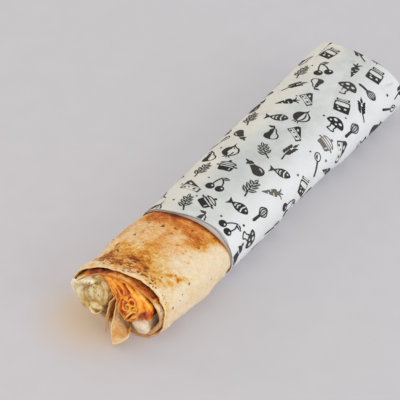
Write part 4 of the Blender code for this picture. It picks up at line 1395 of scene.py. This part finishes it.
def motifs():
    """The print's motifs: shapes in millimetres, inked (1), cleared (0) or a ring of ink (2)."""
    mushroom = [
        (1, blob(*mirrored((-5, 0.4), (-4.3, 3.0), (-2.1, 4.9), (0, 5.4)), (2.6, -0.4), (0, -0.7),
                 (-2.6, -0.4))),
        (0, oval(-2.2, 2.6, 0.95, 0.75)), (0, oval(1.2, 3.3, 1.05, 0.8)), (0, oval(3.1, 1.5, 0.6, 0.5)),
        (0, oval(-0.4, 0.9, 0.65, 0.5)),
        (1, blob(*mirrored((-1.8, -0.4), (-1.6, -2.6), (-2.3, -4.6), (0, -5.3)))),
        (0, blob(*mirrored((-1.0, -1.1), (-0.9, -2.8), (-1.4, -4.1), (0, -4.5)))),
    ]
    sprig = [(1, stroke([(-1.5, -6), (-0.4, -2), (0.2, 2), (0.3, 5)], 0.6, 0.5))]
    for y, side in ((-3.4, 1), (-2.2, -1), (-0.4, 1), (0.8, -1), (2.6, 1), (3.4, -1)):
        sprig += leaf(0.08 * y, y, 90 - side * 52, 4.2 - 0.2 * y, 2.4)
    sprig += leaf(0.3, 4.6, 88, 3.0, 1.9)
    carrot = [(1, blob((-2.2, 2.6), (0, 3.3), (2.2, 2.6), *mirrored((1.9, 0), (0.9, -3.6), (0, -6.2))))]
    for start, end in (((-1.9, 1.0), (-0.3, 0.8)), ((2.0, -0.6), (0.6, -0.8)),
                       ((-1.4, -2.2), (-0.2, -2.4))):
        carrot.append((0, stroke([start, end], 0.4)))
    for bend, tip in (((-1.2, 5.0), (-2.8, 6.0)), ((0.1, 5.4), (0.0, 7.0)), ((1.3, 5.0), (2.8, 5.8))):
        carrot.append((1, stroke([(0, 3.0), bend, tip], 0.9, 0.4)))
    cherries = []
    for x, y in ((-2.7, -2.6), (2.6, -3.4)):
        cherries += [(1, oval(x, y, 2.4, 2.3)), (0, oval(x - 0.8, y + 0.8, 0.65, 0.5, 40))]
    cherries += [
        (1, stroke([(-2.6, -0.6), (-1.4, 2.4), (1.2, 5.0)], 0.5)),
        (1, stroke([(2.4, -1.3), (2.2, 2.0), (1.2, 5.0)], 0.5)), *leaf(1.2, 4.8, 168, 4.4, 2.4),
    ]
    wheat = [(1, stroke([(-2.0, -6.5), (-0.6, -2.0), (0.0, 2.0)], 0.5))]
    for k in range(4):
        wheat += [(1, oval(1.35 * side, 1.7 * k - 0.9, 0.72, 1.5, -32 * side)) for side in (-1, 1)]
    wheat += [(1, oval(0.0, 5.9, 0.7, 1.6)), (1, stroke([(0, 5.5), (0, 8.4)], 0.3))]
    pot = [
        (1, sharp((-4.4, 1.2), (4.4, 1.2), (4.0, -3.2), (3.2, -4.2), (-3.2, -4.2), (-4.0, -3.2))),
        (0, stroke([(-3.6, -0.2), (3.6, -0.2)], 0.45)), (0, stroke([(-2.4, -1.4), (-2.2, -3.0)], 0.4)),
        *((1, sharp((6.0 * side, 0.6), (4.4 * side, 0.6), (4.4 * side, -0.4), (6.0 * side, -0.4)))
          for side in (-1, 1)),
        (1, blob(*mirrored((-4.6, 1.8), (-3.6, 3.2), (0, 3.9)), (0, 1.7))),
        (0, blob(*mirrored((-3.4, 2.3), (-2.6, 2.9), (0, 3.2)), (0, 2.2))),
        (1, oval(0, 4.6, 0.9, 0.8)),
    ]
    whisk = [(1, stroke([(0, -7.0), (0, -1.8)], 1.3, 0.9))]
    for wide in (2.9, 1.7, 0.5):
        loop = blob(*mirrored((0, -2.0), (-wide, 1.2), (-wide * 0.9, 3.6), (0, 5.6)))
        inner = (loop - (0, 1.9)) * (max(wide - 0.75, 0.1) / wide, 0.80) + (0, 1.9)
        whisk.append((2, np.array([loop, inner])))
    onion = [
        (1, blob(*mirrored((0, 6.0), (-0.7, 3.6), (-3.6, 1.6), (-4.4, -1.4), (-2.6, -4.2), (0, -4.9)))),
        (0, blob((0, 3.2), (-2.8, 1.1), (-3.6, -1.4), (-2.1, -3.6), (-1.5, -3.8), (-2.2, -1.4),
                 (-1.6, 1.0))),
        (0, blob((0.2, 2.6), (-0.9, 0.6), (-1.3, -1.4), (-0.7, -3.9), (0.2, -4.1), (0.5, -1.2))),
        (1, stroke([(-0.8, -4.8), (-1.6, -6.2)], 0.4)), (1, stroke([(0, -4.8), (0, -6.4)], 0.4)),
        (1, stroke([(0.8, -4.8), (1.6, -6.2)], 0.4)),
    ]
    wedge = [
        (1, sharp((-5.6, -0.6), (4.2, 3.9), (5.6, 2.6), (5.6, -3.8), (-5.6, -3.8))),
        (0, sharp((-4.6, -1.0), (4.9, -1.0), (4.9, -3.1), (-4.6, -3.1))),
        (0, stroke([(-4.2, -0.35), (4.9, -0.35)], 0.4)),
        (1, oval(-2.2, -2.0, 0.85, 0.7)), (1, oval(1.2, -1.7, 0.55, 0.45)), (1, oval(3.4, -2.4, 0.75, 0.6)),
        (0, oval(2.4, 1.2, 1.1, 0.6, 24)),
    ]
    aubergine = [
        (1, blob((-4.6, -3.6), (-2.4, -5.2), (0.6, -4.4), (2.0, -1.6), (3.2, 1.2), (4.2, 3.2), (2.6, 4.4),
                 (0.6, 3.0), (-2.6, 1.6), (-4.8, -0.8))),
        (0, blob((-3.6, -2.2), (-3.4, -0.4), (-1.6, 0.9), (-1.9, 0.0), (-2.9, -1.0))),
        (1, blob((1.4, 3.6), (2.6, 5.6), (4.4, 5.8), (5.6, 4.0), (5.2, 2.4), (3.4, 3.0))),
        (1, stroke([(4.2, 4.6), (5.8, 6.6)], 1.0, 0.8)),
        (0, stroke([(1.7, 3.4), (3.3, 2.7), (4.9, 2.6)], 0.35)),
    ]
    pear = [
        (1, blob(*mirrored((0, 4.4), (-1.7, 3.2), (-2.3, 0.8), (-3.9, -1.6), (-3.4, -4.4), (0, -5.6)))),
        (0, blob((-0.3, 3.6), (-1.1, 2.8), (-1.6, 0.6), (-3.1, -1.8), (-2.7, -4.0), (-0.6, -4.9),
                 (0.2, -3.0), (-0.3, 0.4))),
        (1, stroke([(0, 4.0), (0.2, 5.4), (0.9, 6.4)], 0.6)), *leaf(0.4, 5.2, 20, 3.4, 1.8, False),
    ]
    jar = [
        (1, blob(*mirrored((-3.0, 2.6), (-3.9, 1.6), (-4.0, -3.8), (-3.2, -5.0)))),
        (0, blob(*mirrored((-2.7, 1.8), (-3.2, 1.2), (-3.3, -0.2), (0, -0.7)))),
        (1, sharp((-3.3, 3.1), (3.3, 3.1), (3.3, 4.9), (-3.3, 4.9))),
        (0, stroke([(-2.3, 4.0), (2.3, 4.0)], 0.35)),
        (0, oval(-1.8, -2.4, 0.7, 0.6)), (0, oval(1.2, -3.2, 0.8, 0.6)), (0, oval(2.0, -1.7, 0.5, 0.4)),
    ]
    fish = [
        (1, blob(*mirrored((-5.6, 0), (-3.4, 2.4), (0, 2.9), (3.2, 1.2), (4.4, 0), axis=1))),
        (1, sharp(*mirrored((3.4, 0), (6.8, 2.8), (6.0, 0), axis=1))), (0, oval(-3.7, 0.6, 0.5, 0.5)),
    ]
    for end, middle, width in (((-2.2, 2.2), -1.6, 0.45), ((0.2, 1.3), 0.8, 0.4), ((1.9, 0.9), 2.4, 0.4)):
        fish.append((0, stroke(mirrored(end, (middle, 0), axis=1), width)))
    spoon = [
        (1, oval(0, 4.2, 2.2, 3.0)), (0, oval(0, 4.2, 1.55, 2.3)),
        (1, blob((0.2, 6.0), (1.2, 4.2), (0.4, 2.3), (0.0, 4.0))),
        (1, stroke([(0, 1.4), (0, -7.0)], 0.8, 1.3)),
    ]
    return [mushroom, sprig, carrot, cherries, wheat, pot, whisk, onion, wedge, aubergine, pear, jar,
            fish, spoon]


def inside(points, outline):
    """Which points lie within a closed outline."""
    x, y = points[:, 0:1], points[:, 1:2]
    x0, y0 = outline[:, 0][None], outline[:, 1][None]
    x1, y1 = np.roll(outline[:, 0], -1)[None], np.roll(outline[:, 1], -1)[None]
    crosses = ((y0 > y) != (y1 > y)) & (x < (x1 - x0) * (y - y0) / (y1 - y0 + 1e-12) + x0)
    return crosses.sum(1) % 2 == 1


def fill_in(motif):
    """Triangles that fill a motif's inked parts."""
    points, edges = [], []
    for kind, shape in motif:
        for outline in shape if kind == 2 else [shape]:
            start, count = len(points), len(outline)
            points += outline.tolist()
            edges += [(start + k, start + (k + 1) % count) for k in range(count)]
    low, high = np.min(points, 0) + 0.4, np.max(points, 0)
    points += itertools.product(*(np.arange(low[k], high[k], 0.9) for k in (0, 1)))
    verts, _, faces = geometry.delaunay_2d_cdt([Vector(p) for p in points], edges, [], 0, 1e-4)[:3]
    verts, faces = np.array([tuple(v) for v in verts]), np.array([list(face) for face in faces])
    centres = verts[faces].mean(1)
    inked = np.zeros(len(faces), bool)
    for kind, shape in motif:
        if kind == 2:
            inked |= inside(centres, shape[0]) & ~inside(centres, shape[1])
        else:
            inked = np.where(inside(centres, shape), kind == 1, inked)
    faces = faces[inked]
    first, second, third = (verts[faces[:, k]] for k in range(3))
    backward = np.cross(second - first, third - first) <= 0
    faces[backward] = faces[backward][:, ::-1]
    used, faces = np.unique(faces, return_inverse=True)
    return verts[used], faces.reshape(-1, 3)


class PrintedSheet:
    """Turns places on the flat printed sheet into points just off the paper's surface."""

    def __init__(self, base, grid):
        self.grid, self.base = grid, base
        x, z = envelope_point(np.append(PAPER_ANGLES, 360.0), 0.0, 150.0)
        self.round = np.concatenate([[0.0], np.cumsum(np.hypot(np.diff(x), np.diff(z)))])
        self.width = self.round[-1]
        run = np.roll(grid, -1, 1) - np.roll(grid, 1, 1)
        self.normal = unit(np.cross(np.gradient(grid, axis=0), run))

    def column(self, s):
        """The paper grid's column, with its fraction, at s millimetres round the sheet."""
        return np.interp(np.mod(s, self.width), self.round, np.arange(PAPER_COLUMNS + 1))

    def spot(self, s, t, lift):
        """Points lift off the paper at s round and t along the sheet, and their grid rows."""
        u = self.column(s)
        base = t
        for _ in range(5):
            base = t - edge_shift(outer_front, u * PAPER_STEP, base)
        last = self.base[-1]
        beyond = (base - last) / (END_ROUND * math.radians(CAP_STEP))
        row = np.where(base > last, len(self.base) - 1 + beyond,
                       (base - PAPER_START) / (self.base[1] - self.base[0]))
        v = np.clip(row, 0.0, len(self.grid) - 1.001)
        c0, r0 = np.floor(u).astype(int), np.floor(v).astype(int)
        cu, rv = (u - c0)[:, None], (v - r0)[:, None]
        c0, c1 = c0 % PAPER_COLUMNS, (c0 + 1) % PAPER_COLUMNS

        def blend(field):
            return ((field[r0, c0] * (1 - cu) + field[r0, c1] * cu) * (1 - rv)
                    + (field[r0 + 1, c0] * (1 - cu) + field[r0 + 1, c1] * cu) * rv)

        points = blend(self.grid) + blend(self.normal) * lift
        points[:, 2] = np.maximum(points[:, 2], 0.012)
        return points, row


PER_RING = 10            # motifs in one row round the paper
ROW_COUNT = 13
ROW_PITCH = 16.2
DOT_POINTS = 60          # only a dot has fewer points than this


def clearance(flat, s, t, taken, width):
    """Least distance from a motif's points to the motifs already placed near (s, t)."""
    least = 9.0
    for other_s, other_t, points in taken:
        turn = width * np.round((s - other_s) / width)
        if abs(s - other_s - turn) > 22.0 or abs(t - other_t) > 22.0:
            continue
        apart = flat[:, None, :] - points[None, :, :] - np.array([turn, 0.0])
        least = min(least, float(np.sqrt((apart ** 2).sum(-1).min())))
    return least


def kinds_nearby(s, t, chosen, width):
    """The kinds of motif already chosen near (s, t)."""
    kinds = set()
    for other_s, other_t, kind in chosen:
        turn = width * round((s - other_s) / width)
        if math.hypot(s - other_s - turn, t - other_t) < 31.0:
            kinds.add(kind)
    return kinds


def print_places(width, picks):
    """Staggered places on the sheet with a shape, a turn and a size, then dots between some."""
    shapes = [fill_in(motif) for motif in motifs()]
    dot = fill_in([(1, oval(0, 0, 0.75, 0.75, 0, 12))])
    order = [picks.permutation(len(shapes)) for _ in range(8)]
    places, chosen = [], []
    for count, (row, column) in enumerate(itertools.product(range(ROW_COUNT), range(PER_RING))):
        s = (column + 0.31 * row) * width / PER_RING + picks.uniform(-0.8, 0.8)
        t = PAPER_START + 2.0 + (row + 0.5 * (column % 2)) * ROW_PITCH + picks.uniform(-0.9, 0.9)
        line = order[count // len(shapes) % 8]
        turns = [int(line[(count + k) % len(shapes)]) for k in range(len(shapes))]
        near = kinds_nearby(s, t, chosen, width)
        kind = next((k for k in turns if k not in near), turns[0])
        chosen.append((s, t, kind))
        places.append((s, t, shapes[kind], picks.uniform(-40, 50), picks.uniform(1.06, 1.22)))
    for s, t, *_ in places[:]:
        if picks.uniform() < 0.3:
            places.append((s + width / PER_RING * 0.5, t + picks.uniform(-2, 2) + 1.0, dot, 0.0,
                           picks.uniform(0.8, 1.2)))
    return places


def best_turned(s, t, verts, turn, size, taken, width):
    """Of a few turns and sizes, the motif that leaves most room around it, and that room."""
    best, room = None, -1.0
    for attempt in range(6):
        angle = math.radians(turn + 31.0 * attempt)
        scale = size * (1.0 - 0.03 * attempt)
        x, y = verts[:, 0] * scale, verts[:, 1] * scale
        c, sn = math.cos(angle), math.sin(angle)
        flat = np.stack([s + x * c - y * sn, t + x * sn + y * c], -1)
        free = clearance(flat[::3], s, t, taken, width)
        if free > room + 0.1:
            best, room = flat, free
        if free > 1.6:
            break
    return best, room


def build_print(base, grid):
    """Small dark motifs printed all over the paper, some on the right paler grey."""
    sheet = PrintedSheet(base, grid)
    picks = np.random.default_rng(5)
    parts, grey_inks, taken = [], [], []
    for s, t, (verts, faces), turn, size in print_places(sheet.width, picks):
        flat, room = best_turned(s, t, verts, turn, size, taken, sheet.width)
        if room < 0.9 and len(verts) < DOT_POINTS:
            continue
        taken.append((s, t, flat[::3]))
        spots, row = sheet.spot(flat[:, 0], flat[:, 1], 0.07)
        kept = faces[(row[faces] > 0.0).all(1) & (row[faces] < len(grid) - 2.0).all(1)]
        if not len(kept):
            continue
        used, kept = np.unique(kept, return_inverse=True)
        parts.append((spots[used], kept.reshape(-1, 3).tolist()))
        # Some motifs on the right are paler grey.
        on_right = math.cos(math.radians(sheet.column(s) * PAPER_STEP - 22.0)) > 0.86
        greyed = on_right and picks.uniform() < 0.2
        grey_inks.append(np.full(len(used), picks.uniform(0.45, 0.8) if greyed else picks.uniform(0.0, 0.15)))
    piece = new_object("printed_motifs", *gather(parts))
    give(piece, "grey_ink", np.concatenate(grey_inks))
    piece.data.materials.append(ink_surface())
    return piece


# ---------------------------------------------------------------- camera, light, floor

def facing(place, aim):
    """The rotation that turns a camera or lamp at a place towards its aim."""
    return (Vector(place) - Vector(aim)).to_track_quat("Z", "Y").to_euler()


def build_camera():
    azimuth, elevation, distance = math.radians(31.78), math.radians(38.07), 1297.45
    # Focal length and the picture's shift, in pixels of a picture 400 across.
    focal, centre_x, centre_y = 2294.92, 35.43, -9.07
    back = Vector((math.sin(azimuth) * math.cos(elevation), -math.cos(azimuth) * math.cos(elevation),
                   math.sin(elevation)))
    right = Vector((math.cos(azimuth), math.sin(azimuth), 0.0))
    up = back.cross(right)
    target = Vector((0.0, 115.0 + SHIFT_Y, 20.0))
    place = target + back * distance
    aim = target - right * (centre_x * distance / focal) + up * (centre_y * distance / focal)
    lens = bpy.data.cameras.new("camera")
    lens.sensor_width = 36.0
    lens.lens = focal * lens.sensor_width / 400.0
    lens.clip_start = 0.05
    camera = link_object("camera", lens)
    camera.location = place * MM
    camera.rotation_euler = facing(place, aim)
    bpy.context.scene.camera = camera


def hang_light(name, kind, place, aim, power, color, **settings):
    light = bpy.data.lights.new(name, kind)
    light.energy, light.color = power, color
    for key, value in settings.items():
        setattr(light, key, value)
    lamp = link_object(name, light)
    lamp.location = place
    lamp.rotation_euler = facing(place, aim)


def build_light():
    for name, place, aim, size, power, color in (
            ("key_light", (1.6, -0.20, 0.75), (0, 0, 0), (1.3, 0.9), 11.8, (0.90, 0.95, 1.0)),
            ("fill_light", (-1.6, 0.05, 0.80), (0, 0, 0), (1.3, 0.9), 6.0, (1.0, 0.90, 0.76)),
            ("top_light", (0.1, -0.30, 1.8), (0, 0, 0), (1.6, 1.6), 2.0, (0.98, 0.985, 1.0)),
            ("front_light", (0.45, -1.5, 0.40), (0, -0.1, 0.02), (1.2, 0.5), 1.3, (1.0, 0.95, 0.88))):
        hang_light(name, "AREA", place, aim, power, color, shape="RECTANGLE", size=size[0],
                   size_y=size[1])
    for name, place, aim, power, color in (
            ("mouth_light", (0.20, -0.72, 0.36), (-0.020, -0.140, 0.020), 3.2, (1.0, 0.66, 0.36)),
            ("floor_glow", (-0.34, -0.55, 0.42), (-0.085, -0.170, 0.0), 2.0, (1.0, 0.34, 0.05))):
        hang_light(name, "SPOT", place, aim, power, color, spot_size=math.radians(22.0), spot_blend=1.0,
                   shadow_soft_size=0.16)
    world = bpy.data.worlds.new("soft_room")
    bpy.context.scene.world = world
    world.use_nodes = True
    background = world.node_tree.nodes["Background"]
    background.inputs["Color"].default_value = (0.985, 0.985, 1.0, 1.0)
    background.inputs["Strength"].default_value = 0.72
    bpy.context.scene.view_settings.view_transform = "Standard"


def build_floor():
    """A wide floor just under the roll, sinking a little far away. Its sizes are in metres."""
    side, count = 3.0, 25
    line = np.linspace(-side, side, count)
    x, y = np.meshgrid(line, line, indexing="ij")
    z = -0.0002 - 0.002 * ramp_up(np.hypot(x, y), 1.5, 2.0)
    mesh = bpy.data.meshes.new("floor")
    mesh.from_pydata(np.stack([x, y, z], -1).reshape(-1, 3).tolist(), [],
                     grid_faces(count, count, flip=True))
    mesh.materials.append(floor_surface())
    floor = link_object("floor", mesh)


def build():
    build_camera()
    build_light()
    build_floor()
    bread = build_bread()
    chicken = build_chicken()
    cheese = build_cheese()
    sauce = build_sauce()
    herbs = build_herbs(cheese, chicken)
    paper, base, grid = build_paper()
    ink = build_print(base, grid)
    for piece, node, slot in (
            (bread, "saj_bread", "flatbread"), (chicken, "chicken_filling", "spiced_chicken"),
            (cheese, "cheese_filling", "melted_cheese"), (sauce, "sauce_filling", "garlic_sauce"),
            (paper, "paper_sleeve", "greaseproof_paper")):
        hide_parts(node)
        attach(piece, "root")
    for piece, slot in ((herbs, "melted_cheese"), (ink, "greaseproof_paper")):
        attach(piece, "root")


build()
